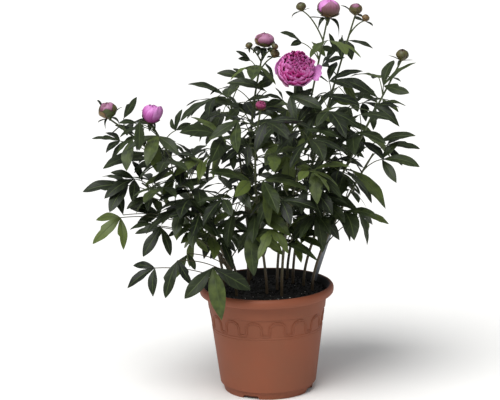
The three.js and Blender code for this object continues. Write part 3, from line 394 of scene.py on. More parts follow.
# Peat soil: near black while it is damp, with brown fibres; and expanded perlite, chalky white
peat = Surface("damp_peat_soil")
clods = peat.noise(peat.place, 260.0, 6.0)
peat.raised(clods, 0.8, 0.0015)
damp_peat = peat.shows(peat.ramped(clods, (0.38, "#0c0b0a"), (0.72, "#221c17")), Roughness=0.92)
chalky = Surface("expanded_perlite")
pores = chalky.noise(chalky.place, 1600.0, 3.0)
perlite = chalky.shows(chalky.ramped(pores, (0, "#9b948a"), (1, "#e9e6df")), Roughness=0.9)
crumbs.data.materials.append(damp_peat)
crumbs.data.materials.append(perlite)
crumbs.data.polygons.foreach_set("material_index", [int(flag) for flag in perlite_flags])
soil.data.materials.append(damp_peat)
select_only(crumbs, soil)
bpy.ops.object.join()
bpy.ops.object.shade_smooth_by_angle(angle=math.radians(40))
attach(soil, "root")
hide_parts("soil")

# Label
# A blank plant label cut from 1 mm polystyrene sheet, with rounded corners on top and a
# pointed foot, pushed into the soil at the right and leaning outwards.
LABEL_W = 12
LABEL_T = 1
LABEL_POINT = 12
LABEL_FOOT = (82, 59, 160)
LABEL_TOP = (130, 38, 313)
LABEL_BOW = 1.6
LABEL_CORNER_R = 2.4
LABEL_CUTS = 5
label_run = (Vector(LABEL_TOP) - Vector(LABEL_FOOT)).normalized()
label_length = (Vector(LABEL_TOP) - Vector(LABEL_FOOT)).length
label_side = Vector((1, 0.35, 0)).normalized()
label_side = (label_side - label_run * label_side.dot(label_run)).normalized()
bpy.ops.object.select_all(action="DESELECT")
bpy.ops.mesh.primitive_cube_add(size=1, location=(0, 0, label_length / 2 * MM))
label = bpy.context.object
label.name = label.data.name = "plant_label_strip"
label.scale = (LABEL_W * MM, LABEL_T * MM, label_length * MM)
bpy.ops.object.transform_apply(location=True, rotation=False, scale=True)
bpy.ops.object.mode_set(mode="EDIT")
bpy.ops.mesh.select_all(action="SELECT")
bpy.ops.mesh.bisect(plane_co=(0, 0, LABEL_POINT * MM), plane_no=(0, 0, 1))
bpy.ops.mesh.select_all(action="DESELECT")
bpy.ops.object.mode_set(mode="OBJECT")
for face in label.data.polygons:
    face.select = face.normal.z < -0.5
bpy.ops.object.mode_set(mode="EDIT")
bpy.ops.transform.resize(value=(0.3, 1, 1), center_override=(0, 0, 0))
bpy.ops.mesh.select_all(action="DESELECT")
bpy.ops.object.mode_set(mode="OBJECT")
for edge in label.data.edges:
    a, b = (label.data.vertices[k].co for k in edge.vertices)
    edge.select = min(a.z, b.z) > (label_length - 1) * MM and abs(a.x - b.x) < 1e-6
bpy.ops.object.mode_set(mode="EDIT")
bpy.ops.mesh.bevel(offset=LABEL_CORNER_R * MM, segments=5, affect="EDGES")
bpy.ops.mesh.select_all(action="SELECT")
for k in range(1, LABEL_CUTS):
    cut_z = (LABEL_POINT + (label_length - LABEL_POINT) * k / LABEL_CUTS) * MM
    bpy.ops.mesh.bisect(plane_co=(0, 0, cut_z), plane_no=(0, 0, 1))
    bpy.ops.mesh.select_all(action="SELECT")
bpy.ops.object.mode_set(mode="OBJECT")
edge_wear = label.modifiers.new("softened edges", "BEVEL")
edge_wear.width = 0.2 * MM
edge_wear.segments = 2
edge_wear.limit_method = "ANGLE"
edge_wear.angle_limit = math.radians(60)
bpy.ops.object.modifier_apply(modifier=edge_wear.name)
for v in label.data.vertices:
    v.co.y += LABEL_BOW * MM * math.sin(math.pi * v.co.z / (label_length * MM))
label_out = label_run.cross(label_side)
turned = Matrix((label_side, label_out, label_run)).transposed().to_4x4()
label.data.transform(Matrix.Translation(Vector(LABEL_FOOT) * MM) @ turned)
bpy.ops.object.shade_smooth_by_angle(angle=math.radians(35))

# Polystyrene sheet: satin and white, but painted in the greys of the shade it stands in, faintly streaked by
# the rollers and by watering
sheet = Surface("white_polystyrene_in_painted_shade")
film = sheet.noise(sheet.stretched(sheet.place, (60.0, 60.0, 6.0)), 4.0)
# Both greys are painted shade on a white label; the streaks between them are the sheet's own.
shaded_label_sheet = sheet.shows(sheet.ramped(film, (0, "#5f646c"), (1, "#868a90")), Roughness=0.42)
label.data.materials.append(shaded_label_sheet)
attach(label, "root")
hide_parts("plant_label")

# Stalks and leaves
# Fourteen stalks rise from the crown of roots and carry compound leaves in a spiral: seven
# or five leaflets low down, three and fewer towards the flowers. Stalks and petioles are
# tinged red near the soil, and each leaf turns its upper face to the light.
STALK_R = 2.9
STALK_TIP_R = 1.7
STALK_FROM_Z = 200
HOLE_FLOOR_Z = 152
PETIOLE_R = 1.15
STALKS = [
    {"name": "cluster", "root": (-35, 20), "bend": (-35, 10, 525), "fills": 5, "turn": 100},
    {"name": "top_bud", "root": (30, 15), "bend": (70, 0, 470), "fills": 5, "turn": 200},
    {"name": "right_top", "root": (52, 32), "bend": (95, 40, 460), "fills": 5, "turn": 310},
    {"name": "bloom", "root": (20, -15), "bend": (55, -30, 475), "fills": 4, "turn": 20},
    {"name": "right_bud", "root": (72, 10), "bend": (145, 0, 415), "fills": 5, "turn": 250},
    {"name": "far_left", "root": (-82, -8), "bend": (-120, -20, 415), "fills": 4, "turn": 60},
    {"name": "left_pink", "root": (-55, 2), "bend": (-150, 10, 395), "fills": 4, "turn": 150},
    {"name": "small_red", "root": (0, -42), "bend": (-35, -80, 425), "fills": 4, "turn": 280},
    {"name": "left_mid", "root": (-68, 30), "bend": (-145, 40, 335), "tip": (-235, 12, 408),
     "fills": 5, "turn": 35},
    {"name": "left_front", "root": (-58, -48), "bend": (-95, -90, 325), "tip": (-130, -125, 375),
     "fills": 4, "turn": 190},
    {"name": "right_mid", "root": (88, -16), "bend": (135, -20, 345), "tip": (205, -40, 465),
     "fills": 5, "turn": 330},
    {"name": "centre_front", "root": (28, -58), "bend": (35, -110, 365), "tip": (65, -140, 460),
     "fills": 5, "turn": 110},
    {"name": "back_left", "root": (-30, 68), "bend": (-45, 90, 455), "tip": (-65, 100, 560),
     "fills": 6, "turn": 240},
    {"name": "back_right", "root": (42, 72), "bend": (110, 110, 450), "tip": (170, 118, 530),
     "fills": 6, "turn": 75},
]

# Leaves that make the outline and the lit front: stalk, where the leaflets part, the end of
# the middle leaflet, and how many leaflets there are
SHOWN_LEAVES = [
    (5, (-270, -35, 498), (-322, -45, 508), 3),
    (5, (-245, -20, 505), (-284, -15, 527), 2),
    (5, (-262, -30, 540), (-235, -38, 584), 1),
    (5, (-215, -12, 470), (-305, -30, 450), 1),
    (5, (-215, 20, 452), (-275, 30, 452), 2),
    (6, (-230, -60, 540), (-264, -75, 545), 1),
    (6, (-228, -80, 548), (-230, -90, 497), 1),
    (6, (-180, -70, 545), (-188, -100, 500), 1),
    (6, (-165, -30, 515), (-152, -20, 556), 3),
    (7, (-75, -100, 510), (-153, -150, 535), 3),
    (8, (-260, -10, 408), (-345, -30, 406), 3),
    (8, (-215, -20, 385), (-262, -45, 372), 3),
    (8, (-200, -30, 332), (-256, -60, 336), 3),
    (8, (-235, 20, 410), (-252, 35, 452), 1),
    (8, (-270, -30, 355), (-292, -20, 410), 1),
    (8, (-275, -30, 350), (-328, -50, 308), 3),
    (8, (-205, 0, 350), (-268, 15, 366), 3),
    (9, (-195, -100, 345), (-228, -130, 300), 3),
    (9, (-208, -110, 270), (-260, -120, 238), 3),
    (9, (-165, -130, 288), (-188, -150, 226), 2),
    (9, (-148, -105, 292), (-176, -125, 250), 2),
    (9, (-100, -135, 275), (-85, -168, 188), 3),
    (9, (-135, -60, 315), (-145, -64, 262), 3),
    (9, (-85, -70, 315), (-62, -92, 262), 3),
    (7, (-30, -110, 340), (-24, -138, 262), 3),
    (7, (-20, -95, 330), (30, -105, 292), 1),
    (11, (22, -125, 312), (3, -145, 270), 3),
    (11, (30, -130, 316), (94, -152, 290), 1),
    (4, (215, -30, 485), (284, -50, 502), 1),
    (10, (233, -10, 475), (296, -12, 470), 3),
    (10, (220, -50, 455), (290, -62, 445), 3),
    (10, (160, -60, 440), (224, -82, 372), 1),
    (10, (130, -70, 360), (156, -98, 312), 3),
    (10, (175, -30, 355), (192, -42, 292), 3),
    (10, (195, 0, 340), (242, 12, 320), 3),
    (4, (210, -20, 552), (254, -42, 518), 3),
    (4, (228, 20, 552), (274, 32, 545), 3),
    (4, (228, -10, 590), (289, -22, 638), 3),
    (4, (220, 30, 560), (150, 52, 606), 1),
    (2, (130, 20, 600), (196, 32, 620), 3),
    (13, (180, 70, 545), (160, 60, 592), 3),
    (1, (75, -5, 672), (34, -16, 696), 2),
    (1, (90, 0, 665), (114, -16, 640), 1),
    (2, (152, 20, 682), (149, -2, 640), 1),
    (2, (140, 30, 655), (128, 30, 692), 3),
    (2, (115, 40, 625), (158, 28, 641), 3),
    (0, (-22, 0, 642), (-47, 0, 676), 2),
    (0, (20, -10, 602), (-38, -20, 632), 3),
    (12, (-70, 90, 560), (-145, 80, 592), 2),
    (12, (-62, 110, 560), (-42, 132, 590), 1),
    (12, (-35, 60, 600), (-90, 60, 616), 3),
    (0, (-45, 40, 545), (-106, 20, 566), 3),
    (0, (15, 10, 580), (-60, 20, 600), 1),
    (3, (50, -60, 580), (108, -92, 563), 3),
    (3, (38, 12, 562), (0, 8, 594), 3),
    (3, (72, 8, 560), (66, 10, 606), 3),
    (7, (-28, -120, 432), (-102, -150, 460), 3),
    (7, (-5, -120, 432), (94, -150, 412), 3),
    (11, (18, -140, 411), (86, -165, 400), 3),
    (7, (-2, -130, 417), (5, -150, 357), 1),
    (7, (-28, -110, 500), (-80, -130, 470), 2),
    (3, (100, -60, 548), (76, -80, 500), 3),
    (6, (-115, -90, 467), (-166, -115, 447), 3),
]

# Crown: height, left end and right end of the outline that the other leaves fill
CROWN = [
    (265, -150, 110),
    (300, -220, 150),
    (350, -290, 205),
    (420, -325, 235),
    (480, -300, 280),
    (540, -205, 270),
    (590, -95, 250),
    (650, -60, 185),
    (705, 20, 130),
]
CROWN_MID_Z = 435
CROWN_HALF_H = 262
CROWN_HALF_D = 235

# Leaflet pattern by count: groups as turn, stalk length as a share of the leaf, and each
# blade's turn and length
PATTERNS = {
    1: [(0, 0, [(0, 1)])],
    2: [(0, 0, [(0, 1), (50, 0.74)])],
    3: [(0, 0, [(0, 1), (52, 0.84), (-52, 0.8)])],
    5: [
        (0, 0.34, [(0, 0.66), (50, 0.54), (-50, 0.56)]),
        (60, 0, [(0, 0.6)]),
        (-60, 0, [(0, 0.58)]),
    ],
    7: [
        (0, 0.36, [(0, 0.64), (50, 0.52), (-50, 0.52)]),
        (58, 0.16, [(0, 0.54), (50, 0.44)]),
        (-58, 0.16, [(0, 0.54), (-50, 0.44)]),
    ],
}
BLADE_WIDTH = 0.3
BLADE_ARCH = 0.07
BLADE_GAP = 8.6
OWN_GAP = 7
PETIOLE_GAP = 7.4
OWN_PETIOLE_GAP = 3
SISTER_GAP = 2.6
SISTER_START = 3
SAMPLE_STEPS = 11
BLADE_TRIALS = 9
SHORTER_FROM = 5
SHORTER = 0.82
BLADE_SWAY = 5
BLADE_DIP = 9
BLADE_TWIST = 14
SIDE_BLADE_TWIST = 8
LEAST_WIDTH, WIDTH_SPAN = 0.92, 0.2
SHOWN_TRIALS = 16
SHOWN_SLOPES = (0.6, 0.4, 0.85, 0.2)
SHOWN_SHIFT = (4, 14, 4)
SHOWN_FACING = (-0.42, 0.85)
SHOWN_SWAY = (0.5, 0.3)
FILL_TRIALS = 30
FILL_FROM = 0.3
FILL_SPAN = 0.66
FILL_SWAY = 18
SWAY_PER_TRIAL = 10
FILL_FACING = (0.45, -0.15, 0.8)
FILL_TILT = 0.35
SPIRAL = 137.5
PETIOLE_RISE = 24
RISE_SWING = 13
PETIOLE_LOW = 112
PETIOLE_HIGH = 50
PETIOLE_SWING = 0.2
SLOPE_LOW = -46
SLOPE_HIGH = -12
SLOPE_SWING = 20
LENGTH_SWING = 0.12
FILL_KINDS = ((0.5, 7, 138), (0.82, 5, 116), (1, 3, 74))
RIM_TOP_Z = 215
RIM_CLEAR_R = 139

# Small inner leaves: how close they come, how many tries a stalk has, and their sizes
INNER_GAP = 0.6
INNER_RANKS = 7
INNER_TOP_Z = 560
INNER_TRIALS = 14
INNER_FROM = 0.28
INNER_SPAN = 0.66
INNER_PETIOLE = (26, 95)
INNER_RISE = (5, 45)
INNER_SLOPE = -20
INNER_SLOPE_SWING = 25
INNER_LENGTH = 74
INNER_LENGTH_SWING = 0.22
INNER_FACING = (0.3, -0.3, 0.8)
INNER_TILT = 0.4

# Rows and columns of a leaflet's mesh
BLADE_MESH = (16, 9)
INNER_MESH = (10, 5)

# Heads: the stalk's number, the middle, the radius, the lean, whether on a side shoot, how far
# open or how far up the sepals reach, and how brown a bud is flushed; bracts are a turn, a
# reach, a rise and half a width in radii
BUDS = [
    {"stalk": 0, "at": (-24, 4, 668), "radius": 6.5, "lean": (-0.3, -0.1, 1), "shoot": True, "open": 0,
     "flush": 0.08, "bracts": [(170, 1.5, 0.3, 0.1), (-30, 1.6, -0.3, 0.12), (250, 0.8, -1, 0.3)]},
    {"stalk": 0, "at": (24, -8, 653), "radius": 8.5, "lean": (0.4, -0.2, 1), "shoot": True, "open": 0,
     "flush": 0.25, "bracts": [(10, 1.3, 0.6, 0.12), (200, 1.2, -0.5, 0.2), (90, 1.5, 0.2, 0.1)]},
    {"stalk": 0, "at": (24, -22, 668), "radius": 6, "lean": (0.5, -0.3, 1), "shoot": True, "open": 0,
     "flush": 0.1, "bracts": [(0, 1.4, 0.2, 0.1), (180, 1.2, -0.6, 0.2)]},
    {"stalk": 1, "at": (75, 10, 738), "radius": 9, "lean": (-0.2, -0.1, 1), "shoot": True, "open": 0,
     "flush": 0.08, "bracts": [(182, 2.1, -1.1, 0.16), (0, 1.5, 0.25, 0.05), (80, 1.4, 0.2, 0.1)]},
    {"stalk": 2, "at": (180, 50, 728), "radius": 12, "lean": (0, -0.1, 1), "shoot": False, "open": 0.3,
     "flush": 0.15, "bracts": [(178, 2.1, 1.5, 0.14), (-20, 0.9, -0.5, 0.2), (90, 1.4, -0.3, 0.15)]},
    {"stalk": 2, "at": (198, 38, 712), "radius": 7, "lean": (0.4, -0.1, 1), "shoot": True, "open": 0,
     "flush": 0.2, "bracts": [(172, 2.6, -0.15, 0.5), (-8, 2.4, -0.6, 0.3), (90, 1.2, 0.2, 0.2)]},
    {"stalk": 4, "at": (263, -5, 645), "radius": 11.5, "lean": (0.1, -0.1, 1), "shoot": False, "open": 0,
     "flush": -0.25, "bracts": [(165, 2.0, 0.5, 0.08), (5, 1.6, 0.2, 0.05), (225, 0.7, -0.9, 0.18)]},
]
OPENING = [
    {"name": "cluster", "stalk": 0, "at": (6, 15, 677), "radius": 18, "lean": (0.1, -0.1, 1),
     "tall": 0.76, "sepals": 0.02, "flush": 0.2,
     "bracts": [(195, 0.9, -0.6, 0.3), (335, 0.8, -0.8, 0.3), (90, 0.9, 0.2, 0.2), (265, 0.4, -1.1, 0.34),
                (230, 0.7, -0.8, 0.26)]},
    {"name": "top", "stalk": 1, "at": (127, 5, 735), "radius": 21.5, "lean": (0.15, -0.1, 1),
     "tall": 0.84, "sepals": -0.35, "flush": 0.1,
     "bracts": [(-20, 0.95, -1.5, 0.19), (215, 0.6, -1.0, 0.2), (185, 1.3, -0.1, 0.05),
                (80, 0.9, -0.9, 0.17)]},
    {"name": "far_left", "stalk": 5, "at": (-291, -30, 556), "radius": 16, "lean": (-0.2, -0.1, 1),
     "tall": 1, "sepals": 0.66, "flush": 0.3,
     "bracts": [(150, 0.95, 2.2, 0.2), (5, 1.5, 0.9, 0.06), (225, 0.7, -1.1, 0.15), (195, 1.2, -0.2, 0.08),
                (320, 1.1, -0.8, 0.14)]},
    {"name": "left_pink", "stalk": 6, "at": (-207, -55, 552), "radius": 18, "lean": (0.15, -0.35, 1),
     "tall": 1, "sepals": -0.5, "flush": 0.05,
     "bracts": [(175, 0.85, 1.1, 0.09), (262, 0.35, -0.9, 0.28), (310, 0.5, -0.7, 0.12),
                (80, 0.9, -0.3, 0.14)]},
    {"name": "small_red", "stalk": 7, "at": (-5, -110, 570), "radius": 9.5, "lean": (0.1, -0.1, 1),
     "tall": 0.95, "sepals": -0.3, "flush": 0.1,
     "bracts": [(-10, 2.3, -0.7, 0.3), (190, 2.0, 0.2, 0.2), (80, 1.8, 0.2, 0.2)]},
]
BLOOM = {"stalk": 3, "at": (62, -52, 631), "radius": 35, "lean": (0.05, -0.8, 0.6)}
BLOOM_DEPTH = 18


def plus(a, b):
    return (a[0] + b[0], a[1] + b[1], a[2] + b[2])


def minus(a, b):
    return (a[0] - b[0], a[1] - b[1], a[2] - b[2])


def times(a, k):
    return (a[0] * k, a[1] * k, a[2] * k)


def dot(a, b):
    return a[0] * b[0] + a[1] * b[1] + a[2] * b[2]


def cross(a, b):
    return (a[1] * b[2] - a[2] * b[1], a[2] * b[0] - a[0] * b[2], a[0] * b[1] - a[1] * b[0])


def size(a):
    return math.sqrt(dot(a, a))


def unit(a):
    return times(a, 1 / size(a))


def between(a, b, t):
    return plus(times(a, 1 - t), times(b, t))


def spun(a, axis, degrees):
    c, s = math.cos(math.radians(degrees)), math.sin(math.radians(degrees))
    turned = plus(times(a, c), times(cross(axis, a), s))
    return plus(turned, times(axis, dot(axis, a) * (1 - c)))


def outward(start, out, length, slope):
    """The point that lies a length away in a level direction that slopes up by an angle."""
    return plus(start, plus(times(out, length * math.cos(slope)), (0, 0, length * math.sin(slope))))


def draw(a, b):
    """A repeatable number from 0 to 1 for leaf a and its feature b."""
    h = ((a + 17) * 0x9E3779B1 ^ (b + 5) * 0x85EBCA6B) & 0xFFFFFFFF
    h = (h ^ h >> 15) * 0x2C1B3C6D & 0xFFFFFFFF
    h = (h ^ h >> 12) * 0x297A2D39 & 0xFFFFFFFF
    return (h ^ h >> 15) / 4294967296


def swing(a, b, reach):
    return (2 * draw(a, b) - 1) * reach


def stalk_point(stalk, t):
    a = (stalk["root"][0], stalk["root"][1], STALK_FROM_Z)
    bend, tip = stalk["bend"], stalk["tip"]
    b = plus(a, (0, 0, 0.35 * size(minus(bend, a))))
    u = 1 - t
    ka, kb, kc, kd = u * u * u, 3 * u * u * t, 3 * u * t * t, t * t * t
    return tuple(ka * a[i] + kb * b[i] + kc * bend[i] + kd * tip[i] for i in range(3))


def petiole_point(start, end, t):
    run = minus(end, start)
    mid = plus(start, (0.45 * run[0], 0.45 * run[1], 0.72 * run[2] + 0.06 * size(run)))
    u = 1 - t
    return tuple(u * u * start[i] + 2 * u * t * mid[i] + t * t * end[i] for i in range(3))


def petiole_samples(start, end):
    steps = max(3, math.floor(size(minus(end, start)) / 4 + 0.5))
    return np.array([petiole_point(start, end, i / steps) for i in range(1, steps + 1)])


# A leaflet's samples: five across at each step from its foot to its tip
S = np.array([i / SAMPLE_STEPS for i in range(1, SAMPLE_STEPS + 1)]).repeat(5)
ACROSS = np.tile([-1, -0.5, 0, 0.5, 1], SAMPLE_STEPS)
ARCH = 4 * BLADE_ARCH * S * (1 - S)
WIDTH = ACROSS * np.power(np.clip(np.sin(np.pi * np.power(S, 1.08)), 0, None), 0.95)


def blade_samples(blade):
    run = np.array(minus(blade["tip"], blade["base"]))
    rise = (ARCH * math.sqrt(run @ run))[:, None] * np.array(blade["face"])
    wide = (WIDTH * blade["half"])[:, None] * np.array(blade["side"])
    return np.array(blade["base"]) + S[:, None] * run + rise + wide


# What has grown so far: its samples, and for each a bounding ball, its owner and its radius
taken = []
crowding = {"gap": 1}
room = {"centre": np.zeros((0, 3)), "reach": np.zeros(0), "owner": np.zeros(0, int),
        "radius": np.zeros(0), "stalk": np.zeros(0, bool)}


def bounding(points):
    centre = points.mean(0)
    return centre, math.sqrt(((points - centre) ** 2).sum(1).max())


def too_near(one, other, gap):
    d = one[:, None] - other
    return (np.einsum("ijk,ijk->ij", d, d) < gap**2).any()


def take(points, owner, radius, stalk=False):
    points = np.array(points, float).reshape(-1, 3)
    centre, reach = bounding(points)
    taken.append(points)
    for key, value in (("reach", reach), ("owner", owner), ("radius", radius), ("stalk", stalk)):
        room[key] = np.append(room[key], value)
    room["centre"] = np.vstack([room["centre"], centre])


def is_free(points, owner, on_petiole):
    """True where the points keep clear of the rim, the label and all that has grown."""
    low = points[:, 2] < RIM_TOP_Z
    if low.any() and (np.hypot(points[low, 0], points[low, 1]) < RIM_CLEAR_R).any():
        return False
    centre, reach = bounding(points)
    own = room["owner"] == owner
    if on_petiole:
        gap = np.where(own, OWN_PETIOLE_GAP, PETIOLE_GAP * crowding["gap"]) + room["radius"]
    else:
        gap = np.where(own, OWN_GAP, BLADE_GAP) * crowding["gap"] + room["radius"]
    apart = np.sqrt(((room["centre"] - centre) ** 2).sum(1))
    near = apart <= reach + room["reach"] + gap
    if on_petiole:
        near &= ~(own & (room["stalk"] > 0))
    near = np.flatnonzero(near)
    nearest_first = near[np.argsort((apart - room["reach"])[near])]
    return not any(too_near(points, taken[k], gap[k]) for k in nearest_first)


def in_crown(p):
    x, y, z = p
    if z < CROWN[0][0] or z > CROWN[-1][0]:
        return False
    depth = CROWN_HALF_D * math.sqrt(max(0, 1 - ((z - CROWN_MID_Z) / CROWN_HALF_H) ** 2))
    if abs(y) > depth:
        return False
    a, b = next((a, b) for a, b in zip(CROWN, CROWN[1:]) if z <= b[0])
    t = (z - a[0]) / (b[0] - a[0])
    squeeze = 1 - 0.35 * (y / CROWN_HALF_D) ** 2
    return (a[1] + (b[1] - a[1]) * t) * squeeze < x < (a[2] + (b[2] - a[2]) * t) * squeeze


def free_blade(key, owner, feature, fork, face, group_axis, turn, length, total, sisters):
    """A leaflet that touches nothing, tried in a few poses, or none."""
    for trial in range(BLADE_TRIALS):
        sway = swing(key, feature + trial, BLADE_SWAY) if trial else 0
        dip = BLADE_DIP + swing(key, feature, BLADE_DIP) if abs(total) > 1 else 0
        if trial:
            dip += swing(key, feature + 400 + trial, 8 + 4 * trial)
        reach = length * (1 if trial < SHORTER_FROM else SHORTER)
        heading = spun(group_axis, face, turn + sway)
        side = unit(cross(face, heading))
        fall = spun(heading, side, dip)
        twist = swing(key, feature + 800, BLADE_TWIST) - SIDE_BLADE_TWIST * ((total > 0) - (total < 0))
        blade_face = spun(spun(face, side, dip), fall, twist)
        width = BLADE_WIDTH * (LEAST_WIDTH + WIDTH_SPAN * draw(key, feature + 900))
        blade = {
            "base": fork,
            "tip": plus(fork, times(fall, reach)),
            "face": blade_face,
            "side": unit(cross(blade_face, fall)),
            "half": width * reach / 2,
            "id": key * 7 + feature,
        }
        points = blade["points"] = blade_samples(blade)
        outer = 5 * SISTER_START
        apart = not any(too_near(points[outer:], s["points"][outer:], SISTER_GAP) for s in sisters)
        if apart and is_free(points, owner, False):
            return blade
    return None


def leaf_parts(key, owner, hub, end, count, facing):
    """The leaflets that find room, and the side stalks that carry them."""
    run = minus(end, hub)
    length = size(run)
    axis = unit(run)
    face = unit(minus(facing, times(axis, dot(facing, axis))))
    blades, stalklets, wanted = [], [], 0
    for group_turn, share, group in PATTERNS[count]:
        group_axis = spun(axis, face, group_turn)
        fork = plus(hub, times(group_axis, share * length))
        line = np.array([between(hub, fork, t) for t in (0.25, 0.5, 0.75, 1)])
        if share > 0 and not is_free(line, owner, True):
            continue
        before = len(blades)
        for turn, portion in group:
            wanted += 1
            blade = free_blade(key, owner, 100 + wanted * 12, fork, face, group_axis, turn,
                               portion * length, group_turn + turn, blades)
            if blade:
                blades.append(blade)
        if share > 0 and len(blades) > before:
            stalklets.append((line, fork))
    return {"blades": blades, "stalklets": stalklets, "wanted": wanted}


def join_point(stalk, hub, slope=0.6):
    """Where a petiole leaves the stalk so that it climbs to its end at that slope."""
    for i in range(18, 1, -1):
        p = stalk_point(stalk, i / 19)
        if hub[2] - p[2] > slope * math.hypot(hub[0] - p[0], hub[1] - p[1]):
            return p
    return stalk_point(stalk, 0.1)


def best_leaf(owner, trials, least, mesh=BLADE_MESH):
    """Keeps the trial with the most leaflets, and looks no further once one has them all."""
    best = None
    for key, start, hub, end, count, facing in trials:
        if not is_free(petiole_samples(start, hub), owner, True):
            continue
        parts = leaf_parts(key, owner, hub, end, count, facing)
        if best is None or len(parts["blades"]) > len(best["blades"]):
            best = {"from": start, "hub": hub, "mesh": mesh, **parts}
        if len(best["blades"]) == parts["wanted"]:
            break
    if best is None or len(best["blades"]) < least:
        return []
    take(petiole_samples(best["from"], best["hub"]), owner, 0)
    for blade in best["blades"]:
        take(blade["points"], owner, 0)
    for line, _ in best["stalklets"]:
        take(line, owner, 0)
    return [best]


def shown_trials(key, owner, hub, end, count):
    for trial in range(SHOWN_TRIALS):
        step = trial // 4
        shift = tuple(swing(key, 3 + 30 * i + trial, SHOWN_SHIFT[i] * step) for i in range(3))
        h, e = plus(hub, shift), plus(end, shift)
        start = join_point(STALKS[owner], h, SHOWN_SLOPES[trial % 4])
        facing = plus((0, *SHOWN_FACING), (swing(key, 1, SHOWN_SWAY[0]), 0, swing(key, 2, SHOWN_SWAY[1])))
        yield key, start, h, e, count, facing


def fill_trials(key, owner, rank):
    stalk = STALKS[owner]
    t = FILL_FROM + FILL_SPAN * (rank + 0.5) / stalk["fills"]
    start = stalk_point(stalk, t)
    count, usual = next((n, length) for below, n, length in FILL_KINDS if t < below)
    for trial in range(FILL_TRIALS):
        sway = swing(key, 200 + trial, FILL_SWAY + SWAY_PER_TRIAL * trial) if trial else 0
        heading = math.radians(stalk["turn"] + SPIRAL * rank + sway)
        out = (math.cos(heading), math.sin(heading), 0)
        rise = math.radians(PETIOLE_RISE + RISE_SWING + swing(key, 220 + trial, RISE_SWING))
        reach = PETIOLE_LOW * (1 - t) + PETIOLE_HIGH * t
        reach *= 1 + swing(key, 240 + trial, PETIOLE_SWING)
        hub = outward(start, out, reach, rise)
        slope = SLOPE_LOW * (1 - t) + SLOPE_HIGH * t + swing(key, 260 + trial, SLOPE_SWING)
        length = usual * (1 + swing(key, 280 + trial, LENGTH_SWING))
        end = outward(hub, out, length, math.radians(slope))
        if in_crown(end):
            facing = plus(times(out, FILL_FACING[0]), (0, *FILL_FACING[1:]))
            tilt = (swing(key, 300 + trial, FILL_TILT), swing(key, 330 + trial, FILL_TILT), 0)
            yield key * 32 + trial, start, hub, end, count, plus(facing, tilt)


def inner_trials(key, owner):
    """A leaf of three small leaflets somewhere along a stalk, inside the crown."""
    for trial in range(INNER_TRIALS):
        t = INNER_FROM + INNER_SPAN * draw(key, 500 + trial)
        start = stalk_point(STALKS[owner], t)
        heading = 6.2832 * draw(key, 540 + trial)
        out = (math.cos(heading), math.sin(heading), 0)
        rise = math.radians(INNER_RISE[0] + INNER_RISE[1] * draw(key, 580 + trial))
        reach = INNER_PETIOLE[0] + INNER_PETIOLE[1] * draw(key, 620 + trial) * (1.1 - t)
        hub = outward(start, out, reach, rise)
        slope = math.radians(swing(key, 660 + trial, INNER_SLOPE_SWING) + INNER_SLOPE)
        length = INNER_LENGTH * (1 + swing(key, 700 + trial, INNER_LENGTH_SWING))
        end = outward(hub, out, length, slope)
        if hub[2] <= INNER_TOP_Z and in_crown(end):
            tilt = (swing(key, 740 + trial, INNER_TILT), *INNER_FACING[1:])
            facing = plus(times(out, INNER_FACING[0]), tilt)
            yield key * 32 + trial, start, hub, end, 3, facing


# The stalks' tips end under their heads. Stalks, heads and the label take up their room first,
# then the shown leaves, then the spiral of the others, rank by rank on all the stalks.
for owner, stalk in enumerate(STALKS):
    for head in OPENING:
        if head["stalk"] == owner:
            stalk["tip"] = minus(head["at"], times(unit(head["lean"]), 0.95 * head["radius"] + 3))
    for head in BUDS:
        if head["stalk"] == owner and not head["shoot"]:
            stalk["tip"] = minus(head["at"], times(unit(head["lean"]), 0.8 * head["radius"]))
    if BLOOM["stalk"] == owner:
        stalk["tip"] = minus(BLOOM["at"], times(unit(BLOOM["lean"]), BLOOM_DEPTH + 4))
    stalk["leaves"] = []
    take([stalk_point(stalk, i / 60) for i in range(61)], owner, STALK_R - 2, True)
for head in BUDS + OPENING:
    take([head["at"]], -1, head["radius"] + 2)
take([BLOOM["at"]], -1, BLOOM["radius"] - 1)
take([between(LABEL_FOOT, LABEL_TOP, i / 10) for i in range(11)], -1, 4)
for key, (owner, *leaf) in enumerate(SHOWN_LEAVES):
    STALKS[owner]["leaves"] += best_leaf(owner, shown_trials(key, owner, *leaf), 1)
for rank in range(max(stalk["fills"] for stalk in STALKS)):
    for owner, stalk in enumerate(STALKS):
        if rank < stalk["fills"]:
            trials = fill_trials(100 + owner * 10 + rank, owner, rank)
            stalk["leaves"] += best_leaf(owner, trials, 2)

# Small leaves close in on each other wherever the crown has room left inside
crowding["gap"] = INNER_GAP
for rank in range(INNER_RANKS):
    for owner, stalk in enumerate(STALKS):
        trials = inner_trials(1000 + owner * 40 + rank, owner)
        stalk["leaves"] += best_leaf(owner, trials, 2, INNER_MESH)


class Skin:
    """One plant part while it is built up: points, faces, finishes, UVs and tones."""

    def __init__(self):
        self.points, self.uvs, self.tones, self.faces, self.finishes = [], [], [], [], []
        self.count = 0

    def add(self, points, uvs, faces, finishes, tone):
        self.points.append(points)
        self.uvs.append(uvs)
        self.tones.append(np.full(len(points), tone))
        self.faces += [[k + self.count for k in face] for face in faces]
        self.finishes += finishes
        self.count += len(points)

    def made(self, name, materials):
        """The part as a Blender object with smooth faces and sharp rims."""
        made = new_piece(name, (np.vstack(self.points) * MM).tolist(), self.faces)
        mesh = made.data
        corners = np.zeros(len(mesh.loops), int)
        mesh.loops.foreach_get("vertex_index", corners)
        mesh.uv_layers.new(name="along").data.foreach_set("uv", np.vstack(self.uvs)[corners].ravel())
        tone = mesh.attributes.new("tone", "FLOAT", "POINT")
        tone.data.foreach_set("value", np.concatenate(self.tones))
        for material in materials:
            mesh.materials.append(material)
        mesh.polygons.foreach_set("material_index", self.finishes)
        select_only(made)
        bpy.ops.object.shade_smooth_by_angle(angle=math.radians(48))
        return made


